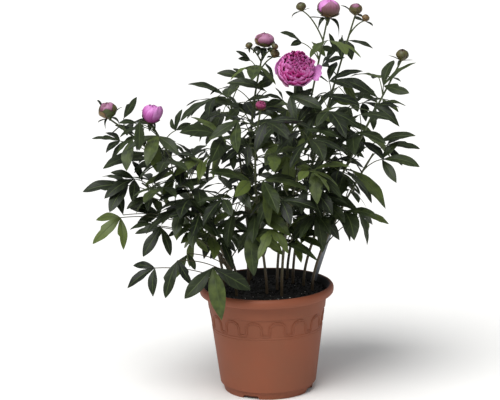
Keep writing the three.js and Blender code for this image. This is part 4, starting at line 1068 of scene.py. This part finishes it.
def add_sheet(skin, grid, thickness, finish, back_finish, tone):
    """A closed sheet over a grid of points (row, column, xyz), thinned out to its edges."""
    rows, cols = grid.shape[:2]
    normal = np.cross(np.gradient(grid, axis=1), np.gradient(grid, axis=0))
    normal /= np.maximum(np.linalg.norm(normal, axis=2, keepdims=True), 1e-9)
    top = grid.copy()
    top[1:-1, 1:-1] += normal[1:-1, 1:-1] * thickness / 2
    low = grid - normal * thickness / 2
    front = np.arange(rows * cols).reshape(rows, cols)
    behind = front.copy()
    behind[1:-1, 1:-1] = rows * cols + np.arange((rows - 2) * (cols - 2)).reshape(rows - 2, cols - 2)
    uv = np.stack(np.meshgrid(np.linspace(0, 1, cols), np.linspace(0, 1, rows)), axis=2)
    points = np.vstack([top.reshape(-1, 3), low[1:-1, 1:-1].reshape(-1, 3)])
    uvs = np.vstack([uv.reshape(-1, 2), uv[1:-1, 1:-1].reshape(-1, 2)])
    faces = []
    for face, order in ((front, 1), (behind, -1)):
        quads = np.stack([face[:-1, :-1], face[:-1, 1:], face[1:, 1:], face[1:, :-1]], axis=2)
        faces += quads.reshape(-1, 4)[:, ::order].tolist()
    half = len(faces) // 2
    skin.add(points, uvs, faces, [finish] * half + [back_finish] * half, tone)


def add_tube(skin, line, radii, sides, tone=0.5):
    """A round green stalk along a line of points, closed at both ends."""
    line = np.array(line, float)
    along = np.gradient(line, axis=0)
    along /= np.linalg.norm(along, axis=1, keepdims=True)
    side = np.cross(along[0], (0.3, 1, 0.1))
    turns = np.linspace(0, 2 * np.pi, sides, endpoint=False)
    points, uvs = [], []
    for i, (centre, run, radius) in enumerate(zip(line, along, radii)):
        side = side - run * (side @ run)
        side /= np.linalg.norm(side)
        spoke = np.outer(np.cos(turns), side) + np.outer(np.sin(turns), np.cross(run, side))
        points.append(centre + radius * spoke)
        uvs.append(np.column_stack([turns / 6.3, np.full(sides, i / (len(line) - 1))]))
    faces = []
    for i in range(len(line) - 1):
        a, b = i * sides, (i + 1) * sides
        faces += [(a + j, a + (j + 1) % sides, b + (j + 1) % sides, b + j) for j in range(sides)]
    faces.append(tuple(reversed(range(sides))))
    faces.append(tuple(range(len(line) * sides - sides, len(line) * sides)))
    skin.add(np.vstack(points), np.vstack(uvs), faces, [STALK_FINISH] * len(faces), tone)


# A leaflet: widest past its middle, drawn out to a point, folded a little along its midrib,
# waved at its edges, and with its tip hanging. Now and then one has a lobe on one side.
BLADE_T = 0.55
BLADE_FULLER = 1.12
FOLD = 0.2
WAVE = 0.07
HANG = 0.055
LOBE = 0.42
LOBED_SHARE = 0.3
LOBE_FROM, LOBE_SPAN = 0.56, 0.41
LEAST_HALF_W, TIP_HALF_W = 0.35, 0.08
ENDS_FINER = 0.35
WIDEST_SPAN = 0.32
MOST_BLUNT, BLUNT_SPAN = 0.98, 0.24
BLADE_BEND = 0.035
BLADE_CURL = 16


def blade_grid(blade, rows, cols):
    """A leaflet's grid from base to tip."""
    key = blade["id"]
    base, face, side = (np.array(blade[name]) for name in ("base", "face", "side"))
    run = np.array(blade["tip"]) - base
    length = np.linalg.norm(run)
    s = (1 - np.cos(np.linspace(0, np.pi, rows))) / 2
    s = ENDS_FINER * s + (1 - ENDS_FINER) * np.linspace(0, 1, rows)
    widest, blunt = 1 + WIDEST_SPAN * draw(key, 8), MOST_BLUNT - BLUNT_SPAN * draw(key, 10)
    half = blade["half"] * BLADE_FULLER * np.clip(np.sin(np.pi * s**widest), 0, None) ** blunt
    half = np.maximum(half, LEAST_HALF_W)
    half[-1] = TIP_HALF_W
    fold = FOLD * (0.6 + 0.8 * draw(key, 1))
    sway = swing(key, 2, BLADE_BEND) * length
    twist = math.radians(swing(key, 3, BLADE_CURL))
    phase, waves = 6.28 * draw(key, 4), 1.6 + 1.4 * draw(key, 5)
    lobed = LOBE * (draw(key, 6) < LOBED_SHARE) * (1 if draw(key, 7) < 0.5 else -1)
    grid = []
    for t, w in zip(s, half):
        turned = side * math.cos(twist * (t - 0.3)) + face * math.sin(twist * (t - 0.3))
        raised = np.cross(run / length, turned)
        raised *= np.sign(raised @ face)
        rib = base + run * t + face * (4 * BLADE_ARCH * length * t * (1 - t))
        rib = rib + side * sway * math.sin(math.pi * t) - np.array([0, 0, HANG * length * t**3])
        row = []
        for a in np.linspace(1, -1, cols):
            cut = lobed * a > 0 and LOBE_FROM < t < LOBE_FROM + LOBE_SPAN
            a *= 1 - abs(lobed) * (1 - (t - LOBE_FROM) / LOBE_SPAN) if cut else 1
            wave = WAVE * w * a * a * math.sin(2 * math.pi * waves * t + phase + (1.3 if a > 0 else 0))
            lift = fold * w * abs(a) ** 1.3 - 0.05 * length * a * a * t * (1 - t) + wave
            row.append(rib + turned * w * a + raised * lift)
        grid.append(row)
    return np.array(grid)


def add_leaf(skin, leaf, tone):
    """Petiole, side stalks and leaflets of one leaf."""
    steps = 12
    line = [petiole_point(leaf["from"], leaf["hub"], i / steps) for i in range(steps + 1)]
    radii = [PETIOLE_R * (1.35 - 0.45 * min(1, 3 * i / steps) - 0.1 * i / steps) for i in range(steps + 1)]
    add_tube(skin, line, radii, 6, tone)
    for _, fork in leaf["stalklets"]:
        middle = between(leaf["hub"], fork, 0.5)
        add_tube(skin, [leaf["hub"], plus(middle, (0, 0, 0.6)), fork], [0.95, 0.8, 0.75], 6, tone)
    for blade in leaf["blades"]:
        shade = min(1, max(0, tone + swing(blade["id"], 9, 0.2)))
        add_sheet(skin, blade_grid(blade, *leaf["mesh"]), BLADE_T, UPPER_FINISH, UNDER_FINISH, shade)


# Leaf, upper face: a waxed, dark green skin with paler veins sunk into it, the midrib first
upper = Surface("waxed_leaf_upper_face")
across, along = upper.split(upper.along())[:2]
aside = upper.math("ABSOLUTE", upper.math("MULTIPLY_ADD", across, 2.0, -1.0))
midrib = upper.ranged(aside, 0.02, 0.1, 1.0, 0.0, "SMOOTHSTEP")
leant = upper.math("MULTIPLY", upper.math("MULTIPLY_ADD", aside, -0.2, along), 9.0)
laterals = upper.ranged(upper.math("PINGPONG", leant, 1.0), 0.8, 1.0, 0.0, 0.35, "SMOOTHSTEP")
veins = upper.math("MAXIMUM", midrib, laterals)
mood = upper.math("MULTIPLY_ADD", upper.noise(upper.place, 75.0, 3.0), 0.45, upper.tone())
greens = upper.ramped(mood, (0.32, "#0f160a"), (1.0, "#525f2b"), (0.75, "#283219"))
upper.raised(veins, 0.6, 0.0005, sunk=True)
leaf_upper = upper.shows(upper.mixed(veins, greens, "#424e2a"), Roughness=0.48, Specular_IOR_Level=0.24)

# Leaf, lower face: paler, greyer and matt, with the midrib standing out
under = Surface("matt_leaf_lower_face")
aside = under.math("ABSOLUTE", under.math("MULTIPLY_ADD", under.split(under.along())["X"], 2.0, -1.0))
midrib = under.ranged(aside, 0.03, 0.14, 1.0, 0.0, "SMOOTHSTEP")
greens = under.ramped(under.noise(under.place, 70.0), (0, "#26301c"), (1, "#364226"))
under.raised(midrib, 0.7, 0.0008)
leaf_under = under.shows(under.mixed(midrib, greens, "#4c5a34"), Roughness=0.65, Specular_IOR_Level=0.2)

# Stalk: smooth and faintly ribbed, reddish brown at the soil and olive green further up
green = Surface("olive_stalk_skin")
height = green.split(green.place)["Z"]
reddened = green.math("MULTIPLY_ADD", green.noise(green.place, 18.0), 0.22, height)
shade = green.ramped(reddened, (0.27, "#54402c"), (0.62, "#424c28"), (0.42, "#413f24"))
green.raised(green.noise(green.stretched(green.place, (900.0, 900.0, 20.0)), 1.0), 0.4, 0.0003)
stalk_skin = green.shows(shade, Roughness=0.5)

# Sepal: leathery, olive green with a brown flush, and a thin dark red border at its sides and tip
leather = Surface("leathery_sepal")
cloud = leather.noise(leather.place, 75.0, 3.0)
mood = leather.math("MULTIPLY_ADD", cloud, 0.8, leather.tone())
shade = leather.ramped(mood, (0.25, "#39431a"), (0.95, "#6e5530"))
across, along = leather.split(leather.along())[:2]
aside = leather.math("ABSOLUTE", leather.math("SUBTRACT", across, 0.5))
outer = leather.math("MAXIMUM", aside, leather.math("MULTIPLY", along, 0.5))
leather.raised(cloud, 0.3, 0.0006)
sepal_skin = leather.shows(leather.mixed(leather.ranged(outer, 0.38, 0.48), shade, "#3a1d1a"), Roughness=0.5)


def petal_material(name, deep_tone_and_shade, middle, rim):
    """Silk with fine streaks, in a deep colour for its foot and creases, then its middle and its rim; the
    deep colour is partly its own and partly painted shade.
    """
    silk = Surface(name)
    spread = silk.along()
    streak = silk.noise(silk.stretched(spread, (26.0, 2.2, 1.0)), 1.0)
    pale = silk.math("MULTIPLY_ADD", streak, 0.42, silk.split(spread)["Y"])
    toned = silk.math("MULTIPLY_ADD", silk.tone(), 0.6, pale)
    silk.raised(streak, 0.35, 0.0004)
    # Low values, at a petal's foot and on petals of low tone, take the deep colour: partly the silk's own,
    # partly painted shade.
    shade = silk.ramped(toned, (0.3, deep_tone_and_shade), (1.0, rim), (0.72, middle))
    return silk.shows(shade, Roughness=0.5, Specular_IOR_Level=0.3, Sheen_Weight=0.08, Sheen_Roughness=0.4)


# Petals: thin and silky, paler towards the rim and deep magenta towards the foot, partly their own colour
# and partly painted shade down in the creases; crimson in the small head, plain lilac where the sun has
# bleached them, and flushed olive brown at the foot where they cover a bud that is still closed
silky_petal = petal_material("silky_pink_petal", "#7a0034", "#bf1c80", "#da80c2")
crimson_petal = petal_material("silky_crimson_petal", "#300112", "#5e0f34", "#9c426f")
lilac_petal = petal_material("bleached_lilac_petal", "#842a6c", "#b055a0", "#d088c8")
flushed_petal = petal_material("olive_flushed_petal", "#4f4327", "#784a5c", "#a36f8e")

STEM_MATERIALS = [stalk_skin, leaf_upper, leaf_under, sepal_skin, flushed_petal]
STALK_FINISH, UPPER_FINISH, UNDER_FINISH, SEPAL_FINISH, PETAL_FINISH = range(5)


def head_frame(head):
    """A head's middle, its axis, and two directions across it, the first to the right."""
    axis = unit(head["lean"])
    u = unit(cross((0, 1, 0.2), axis))
    return np.array(head["at"], float), np.array(axis), np.array(u), np.array(cross(axis, u))


def smooth_path(path, t):
    """The point at the share t of a smooth curve through a path's points."""
    last = len(path) - 1
    k = min(last - 1, int(t * last))
    f = t * last - k
    p0, p1, p2, p3 = path[max(0, k - 1)], path[k], path[k + 1], path[min(last, k + 2)]
    return 0.5 * (2 * p1 + (p2 - p0) * f + (2 * p0 - 5 * p1 + 4 * p2 - p3) * f * f
                  + (3 * p1 - p0 - 3 * p2 + p3) * f**3)


def cupped(head, path, turn, spread, widths, rows, cols, ruffle=0, key=0):
    """A grid for a sepal or petal that cups round a head. path is (out, up) in head radii,
    widths the share of its spread in degrees at each point of the path."""
    at, axis, u, v = head_frame(head)
    path, r = np.array(path, float) * (1, head.get("tall", 1)), head["radius"]
    steps = np.linspace(0, 1, len(path))
    phase = 6.28 * draw(key, 61)
    grid = []
    for t in np.linspace(0, 1, rows):
        out, up = smooth_path(path, t)
        share = np.interp(t, steps, widths)
        row = []
        for a in np.linspace(1, -1, cols):
            angle = math.radians(turn + a * share * spread / 2)
            wave = ruffle * t * t * math.sin(a * 7 + phase)
            shorter = 0.1 * a * a * t * t
            spoke = u * math.cos(angle) + v * math.sin(angle)
            row.append(at + spoke * ((out + wave) * r) + axis * (up - shorter + 0.4 * wave) * r)
        grid.append(row)
    return np.array(grid)


def add_sepal(skin, head, path, turn, spread, widths, key, tone, thickness=0.6, rows=9):
    grid = cupped(head, path, turn, spread, widths, rows, 9, 0, key)
    add_sheet(skin, grid, thickness, SEPAL_FINISH, SEPAL_FINISH, tone)


def add_bract(skin, head, bract, tone):
    """A narrow leaf that stands off or hangs below a head, tilted to the light in front."""
    turn, reach, rise, half = bract
    at, axis, u, v = head_frame(head)
    r = head["radius"]
    angle = math.radians(turn)
    spoke = u * math.cos(angle) + v * math.sin(angle)
    side = np.cross(axis, spoke)
    tilted = np.array(unit(side + axis * 1.1 * side[1]))
    grid = []
    for t in np.linspace(0, 1, 9):
        out = reach * (t if rise > 0 else t * (2 - t))
        up = rise * (t * (2 - t) if rise > 0 else t * t)
        rib = at + spoke * (0.28 + out) * r + axis * (up - 0.92) * r
        w = 0.2 + half * r * math.sin(math.pi * min(1, t**0.8)) ** 0.8
        grid.append([rib + tilted * w * a + axis * 0.25 * w * abs(a) for a in (1, 0.5, 0, -0.5, -1)])
    add_sheet(skin, np.array(grid), 0.5, UPPER_FINISH, UNDER_FINISH, tone)


def hugging(low, high, swell):
    """A path up a head's side, a little outside its round petals."""
    ups = (low, 0.55 * low + 0.45 * high, 0.2 * low + 0.8 * high, high)
    return [(swell * math.sqrt(max(0.01, 1 - up * up)), up) for up in ups]


# A closed bud's petals and sepals: how high each sepal reaches, and how far it draws back as
# the bud opens
BUD_PETAL = [(0.2, -0.7), (0.8, -0.35), (0.9, 0.1), (0.62, 0.72)]
BUD_SEPALS = [(1, 0.3), (0.97, 0.9), (0.93, 1.4), (0.98, 0.6), (0.9, 1.2), (0.7, 0.4)]
CALYX_SEPALS = (0.12, -0.12, 0.2, -0.18, 0, -0.4, -0.5, -0.35, -0.55)


def add_bud(skin, bud, key):
    """A closed bud: sepals that wrap it, any petals that show at its top, and bracts."""
    foot = tuple(np.array(bud["at"]) - 0.8 * bud["radius"] * np.array(unit(bud["lean"])))
    if bud["shoot"]:
        start = join_point(STALKS[bud["stalk"]], foot)
        line = [petiole_point(start, foot, i / 10) for i in range(11)]
        add_tube(skin, line, [1.6 - 0.04 * i for i in range(11)], 7)
    for i in range(3 if bud["open"] else 0):
        path = BUD_PETAL + [(0.06, 0.95 - 0.03 * i)]
        grid = cupped(bud, path, 120 * i + 40, 150, (0.7, 1, 1, 0.9, 0.5), 9, 9, 0, key + i)
        add_sheet(skin, grid, 0.4, PETAL_FINISH, PETAL_FINISH, swing(key, 50 + i, 0.3) - 0.3)
    widths = (0.6, 1, 0.95, 0.3 if bud["open"] else 0.6)
    for i, (high, back) in enumerate(BUD_SEPALS):
        path = hugging(-0.97, high - bud["open"] * back, 0.95 + 0.02 * i)
        tone = bud["flush"] + swing(key, i, 0.35)
        add_sepal(skin, bud, path, 144 * i + 12, 126, widths, key + 10 + i, tone, 0.5, 11)
    for i, (turn, *bract) in enumerate(bud["bracts"]):
        add_bract(skin, bud, (turn + swing(key, 30 + i, 6), *bract), 0.05)


def add_calyx(skin, head, key):
    """The green cup under an opening flower: its swollen foot, sepals and bracts."""
    at, axis, *_ = head_frame(head)
    r = head["radius"]
    line = [at + axis * (-0.95 * r - 5), at + axis * (-0.95 * r - 2), at + axis * (-0.9 * r)]
    add_tube(skin, line, [1.9, 0.2 * r, 0.32 * r], 12)
    for i, higher in enumerate(CALYX_SEPALS):
        turn = 72 * i + 45 + 30 * (i > 4) + swing(i, head["stalk"], 12)
        path = hugging(-0.97, max(-0.85, head["sepals"] + higher), 1.04 + 0.015 * i)
        add_sepal(skin, head, path, turn, 76, (0.7, 1, 0.85, 0.2), key + i, swing(key, i, 0.45) + 0.12)
    for bract in head["bracts"]:
        add_bract(skin, head, bract, 0.1)


def add_bloom_calyx(skin):
    """The open bloom's swollen foot, and five sepals laid back under its petals."""
    at, axis, *_ = head_frame(BLOOM)
    line = [at - axis * (BLOOM_DEPTH + d) for d in (8, 5, 2, -2)]
    add_tube(skin, line, [2, 2.6, 5, 7], 14)
    for i in range(5):
        key = 900 + i
        reach = 1 + swing(key, 1, 0.15)
        path = [(0.08, -0.56), (0.36 * reach, -0.57), (0.62 * reach, -0.52), (0.8 * reach, -0.36)]
        add_sepal(skin, BLOOM, path, 72 * i + 20, 62, (0.7, 1, 0.9, 0.35), key, swing(key, 2, 0.3))


STALK_STEPS = 34
NODE_SWELL, NODE_REACH = 0.5, 6
for owner, stalk in enumerate(STALKS):
    skin = Skin()
    line = [(*stalk["root"], HOLE_FLOOR_Z + 0.3)]
    line += [stalk_point(stalk, i / STALK_STEPS) for i in range(STALK_STEPS + 1)]
    thinner = STALK_TIP_R - STALK_R
    radii = [STALK_R] + [STALK_R + thinner * i / STALK_STEPS for i in range(STALK_STEPS + 1)]
    for i, point in enumerate(line):
        nearest = min((size(minus(point, leaf["from"])) for leaf in stalk["leaves"]), default=99)
        radii[i] += NODE_SWELL * math.exp(-((nearest / NODE_REACH) ** 2))
    add_tube(skin, line, radii, 12)
    for rank, leaf in enumerate(stalk["leaves"]):
        add_leaf(skin, leaf, 0.17 + 0.66 * draw(owner * 40 + rank, 77) ** 1.8)
    for k, bud in enumerate(BUDS):
        if bud["stalk"] == owner:
            add_bud(skin, bud, 500 + 20 * k)
    for k, head in enumerate(OPENING):
        if head["stalk"] == owner:
            add_calyx(skin, head, 700 + 20 * k)
    if BLOOM["stalk"] == owner:
        add_bloom_calyx(skin)
    plant = skin.made("peony_stem_" + stalk["name"], STEM_MATERIALS)
    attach(plant, "root")
    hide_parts("stem_" + stalk["name"])

# Half-open flower heads
# Five heads on their way to opening: smooth outer petals cupped over each other in a turn,
# with ruffled ones showing between their rims. The small one low at the front is crimson.

# The whorls from outside in, as number of petals, path, spread in degrees and rim ruffle
CUPS = [
    (5, [(0.2, -0.96), (0.8, -0.62), (1.0, 0.0), (0.86, 0.52), (0.42, 0.86)], 116, 0.02),
    (5, [(0.15, -0.8), (0.6, -0.5), (0.82, 0.1), (0.68, 0.6), (0.2, 0.93)], 96, 0.05),
    (4, [(0.1, -0.5), (0.4, -0.2), (0.52, 0.3), (0.4, 0.72), (0.02, 0.9)], 100, 0.07),
]
CRINKLED = [
    (6, [(0.2, -0.96), (0.8, -0.62), (0.98, -0.15), (0.95, 0.15), (0.88, 0.35)], 70, 0.1),
    (6, [(0.2, -0.9), (0.7, -0.62), (0.88, 0.0), (0.8, 0.45), (0.62, 0.7)], 74, 0.14),
    (5, [(0.15, -0.8), (0.5, -0.5), (0.66, 0.1), (0.55, 0.65), (0.34, 0.9)], 84, 0.15),
    (4, [(0.1, -0.5), (0.3, -0.2), (0.38, 0.3), (0.26, 0.78), (0.04, 0.99)], 110, 0.12),
]
FLARED_PETAL = [(0.3, -0.7), (0.9, -0.35), (1.1, 0.15), (1.14, 0.75), (1.0, 1.32)]
PETAL_WIDTHS = (0.55, 1, 1, 0.9, 0.5)
PETAL_T = 0.45

# Each head's silks: that of its outer petals, then that of its inner ones and of two outer ones
HEAD_PETALS = {
    "cluster": [flushed_petal, flushed_petal],
    "top": [flushed_petal, lilac_petal],
    "far_left": [flushed_petal, flushed_petal],
    "left_pink": [lilac_petal, lilac_petal],
    "small_red": [crimson_petal, crimson_petal],
}
for k, head in enumerate(OPENING):
    skin = Skin()
    for row, (count, path, spread, ruffle) in enumerate(CRINKLED if head["name"] == "small_red" else CUPS):
        for i in range(count):
            key = 1100 + 60 * k + 10 * row + i
            turn = 360 / count * i + 33 * row + swing(key, 1, 10)
            high = 1 + swing(key, 2, 0.09)
            swell = 1 + 0.03 * (i % 3 - 1)
            shape = [(out * swell, up * (high if up > 0 else 1)) for out, up in path]
            grid = cupped(head, shape, turn, spread, PETAL_WIDTHS, 13, 13, ruffle, key)
            silk = 1 if row > 0 or i in (1, 3) else 0
            # Each inner row is a tenth darker: partly its own colour, partly painted shade deeper in the
            # head.
            tone = swing(key, 3, 0.45) - head["flush"] - 0.1 * row
            add_sheet(skin, grid, PETAL_T, silk, silk, tone)
    if head["name"] == "left_pink":
        grid = cupped(head, FLARED_PETAL, -48, 74, (0.7, 1, 1, 0.9, 0.5), 15, 11, 0.05, 1500)
        add_sheet(skin, grid, PETAL_T, 0, 0, 0.35)
    petals = skin.made("opening_petals_" + head["name"], HEAD_PETALS[head["name"]])
    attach(petals, "root")
    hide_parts("petals_" + head["name"])

# Open bloom
# The double bloom: smooth lilac guard petals cup a dense ball of ruffled magenta ones, which
# stand round each other like a cabbage's leaves. One guard petal has fallen open to the right.

# Its whorls from outside in: petals, widest reach, reach and height of the rim as shares of the
# radius, spread in degrees, ruffle, tone and turn
# The tones fall from the guard petals inwards, so the inner whorls are deeper magenta: partly their own
# colour, partly painted shade deep in the ball.
BLOOM_WHORLS = [
    (6, 0.98, 0.98, -0.2, 92, 0.02, 0.3, 30),
    (7, 0.95, 0.93, 0, 74, 0.05, -0.05, 5),
    (7, 0.9, 0.84, 0.23, 74, 0.06, -0.15, 40),
    (7, 0.84, 0.75, 0.42, 76, 0.065, -0.25, 10),
    (7, 0.74, 0.63, 0.57, 78, 0.07, -0.3, 50),
    (7, 0.61, 0.51, 0.67, 80, 0.075, -0.3, 25),
    (6, 0.48, 0.4, 0.74, 90, 0.075, -0.3, 0),
    (5, 0.35, 0.29, 0.78, 100, 0.075, -0.3, 60),
    (4, 0.23, 0.18, 0.8, 120, 0.07, -0.3, 20),
    (3, 0.13, 0.1, 0.79, 150, 0.06, -0.3, 70),
]
GUARD_SILKS = (1, 1, 1, 2, 2, 1)
FALLEN_PATH = [(0.08, -0.5), (0.7, -0.42), (1.0, -0.16), (1.2, 0.04), (1.38, 0.12)]
FALLEN_TURN = -11
FALLEN_SPREAD = 48
NOTCH_IN_RIM = 0.05


def whorl_path(key, wide, rim, up):
    """A petal's path, out and up in radii: it leaves the foot, bulges and cups up to its rim."""
    wide *= 1 + swing(key, 1, 0.05)
    rim *= 1 + swing(key, 8, 0.1)
    tall = up * (1 + swing(key, 2, 0.12))
    foot = -BLOOM_DEPTH / BLOOM["radius"] + 0.1 * (1 - wide)
    knee = min(0.1, foot + 0.42 * (tall - foot))
    return [(0.08, foot), (0.62 * wide, foot + 0.06), (0.95 * wide, knee),
            (0.5 * (wide + rim) + 0.02, 0.5 * (knee + tall) + 0.05), (rim, tall)]


def add_bloom_petal(skin, path, turn, spread, ruffle, key, silk, tone):
    """A petal of the bloom along a path, with a frilled and notched rim."""
    at, axis, u, v = head_frame(BLOOM)
    path, r = np.array(path), BLOOM["radius"]
    phase, other = 6.28 * draw(key, 3), 6.28 * draw(key, 4)
    waves, finer = 4 + 3 * draw(key, 5), 11 + 5 * draw(key, 6)
    frills = 0 if ruffle < 0.03 else 1
    spiral = frills * swing(key, 10, 0.13) + 0.05
    grid = []
    for t in np.linspace(0, 1, 17):
        out, up = smooth_path(path, t)
        share = np.interp(t, (0, 0.3, 0.6, 0.85, 1), (0.4, 0.75, 1, 1, 0.78))
        frill = ruffle * t * t
        row = []
        for a in np.linspace(1, -1, 21):
            wave = math.sin(waves * a + phase) + 0.45 * math.sin(finer * a + other)
            notch = frills * NOTCH_IN_RIM * t**3 * math.exp(-(((a - 0.3 * math.sin(phase)) / 0.16) ** 2))
            angle = math.radians(turn + a * share * spread / 2)
            spoke = u * math.cos(angle) + v * math.sin(angle)
            far = out * (1 + spiral * a * t) + frill * wave
            drop = 0.14 * abs(a) ** 3 * t * t + notch + 0.7 * frill * math.sin(waves * a + other)
            row.append(at + spoke * far * r + axis * (up - drop) * r)
        grid.append(row)
    add_sheet(skin, np.array(grid), 0.5, silk, silk, tone)


skin = Skin()
for row, (count, wide, rim, up, spread, ruffle, tone, first) in enumerate(BLOOM_WHORLS):
    for i in range(count):
        key = 2000 + 40 * row + i
        turn = first + 360 / count * i + swing(key, 7, 10)
        silk = 0 if row else GUARD_SILKS[i]
        path = whorl_path(key, wide, rim, up)
        add_bloom_petal(skin, path, turn, spread, ruffle, key, silk, tone + swing(key, 9, 0.25))
add_bloom_petal(skin, FALLEN_PATH, FALLEN_TURN, FALLEN_SPREAD, 0.03, 2999, 1, 0.7)
bloom = skin.made("bloom_petals", [silky_petal, lilac_petal, flushed_petal])
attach(bloom, "root")
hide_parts("petals_bloom")

# Floor and light
# A pale plain floor that runs on behind the pot, under a broad soft sky with a soft key
# light from the front left, so that the leaves shade each other towards the middle.
bpy.ops.object.select_all(action="DESELECT")
bpy.ops.mesh.primitive_plane_add(size=60, location=(0, 0, 0))
floor = bpy.context.object
floor.name = "floor"
floor.data.materials.append(Surface("pale_matt_floor").shows("#f2f1ee", Roughness=0.9))

world = bpy.data.worlds.new("soft_sky")
bpy.context.scene.world = world
world.use_nodes = True
sky = world.node_tree.nodes["Background"]
sky.inputs["Color"].default_value = linear("#f4f6fa")
sky.inputs["Strength"].default_value = 0.42
sun = bpy.data.lights.new("key", "SUN")
sun.energy = 3.3
sun.angle = math.radians(42)
key_lamp = bpy.data.objects.new("key", sun)
key_lamp.rotation_euler = (math.radians(30), 0, math.radians(-32))
bpy.context.scene.collection.objects.link(key_lamp)

# Camera
# The photograph's eye: three metres in front, 11.65 degrees above the level, turned by
# just over a degree, with a lens that sees the plant and the pot fill the frame.
CAMERA_LIFT = math.radians(11.65)
CAMERA_ROLL = math.radians(-1.24)
CAMERA_AWAY = 3000
CAMERA_AIM = Vector((-28.5, 0, 372.5))
FOCAL_PX = 1566.6
FRAME_PX = 500
SENSOR = 36
back = Vector((0, -math.cos(CAMERA_LIFT), math.sin(CAMERA_LIFT)))
right = Vector((1, 0, 0))
up = back.cross(right)
across = right * math.cos(CAMERA_ROLL) + up * math.sin(CAMERA_ROLL)
upward = up * math.cos(CAMERA_ROLL) - right * math.sin(CAMERA_ROLL)
lens = bpy.data.cameras.new("camera")
lens.sensor_width = SENSOR
lens.lens = FOCAL_PX / FRAME_PX * SENSOR
lens.clip_end = 100
eye = bpy.data.objects.new("camera", lens)
stand = Matrix((across, upward, back)).transposed().to_4x4()
eye.matrix_world = Matrix.Translation((CAMERA_AIM + back * CAMERA_AWAY) * MM) @ stand
bpy.context.scene.collection.objects.link(eye)
bpy.context.scene.camera = eye
bpy.context.scene.view_settings.view_transform = "Standard"
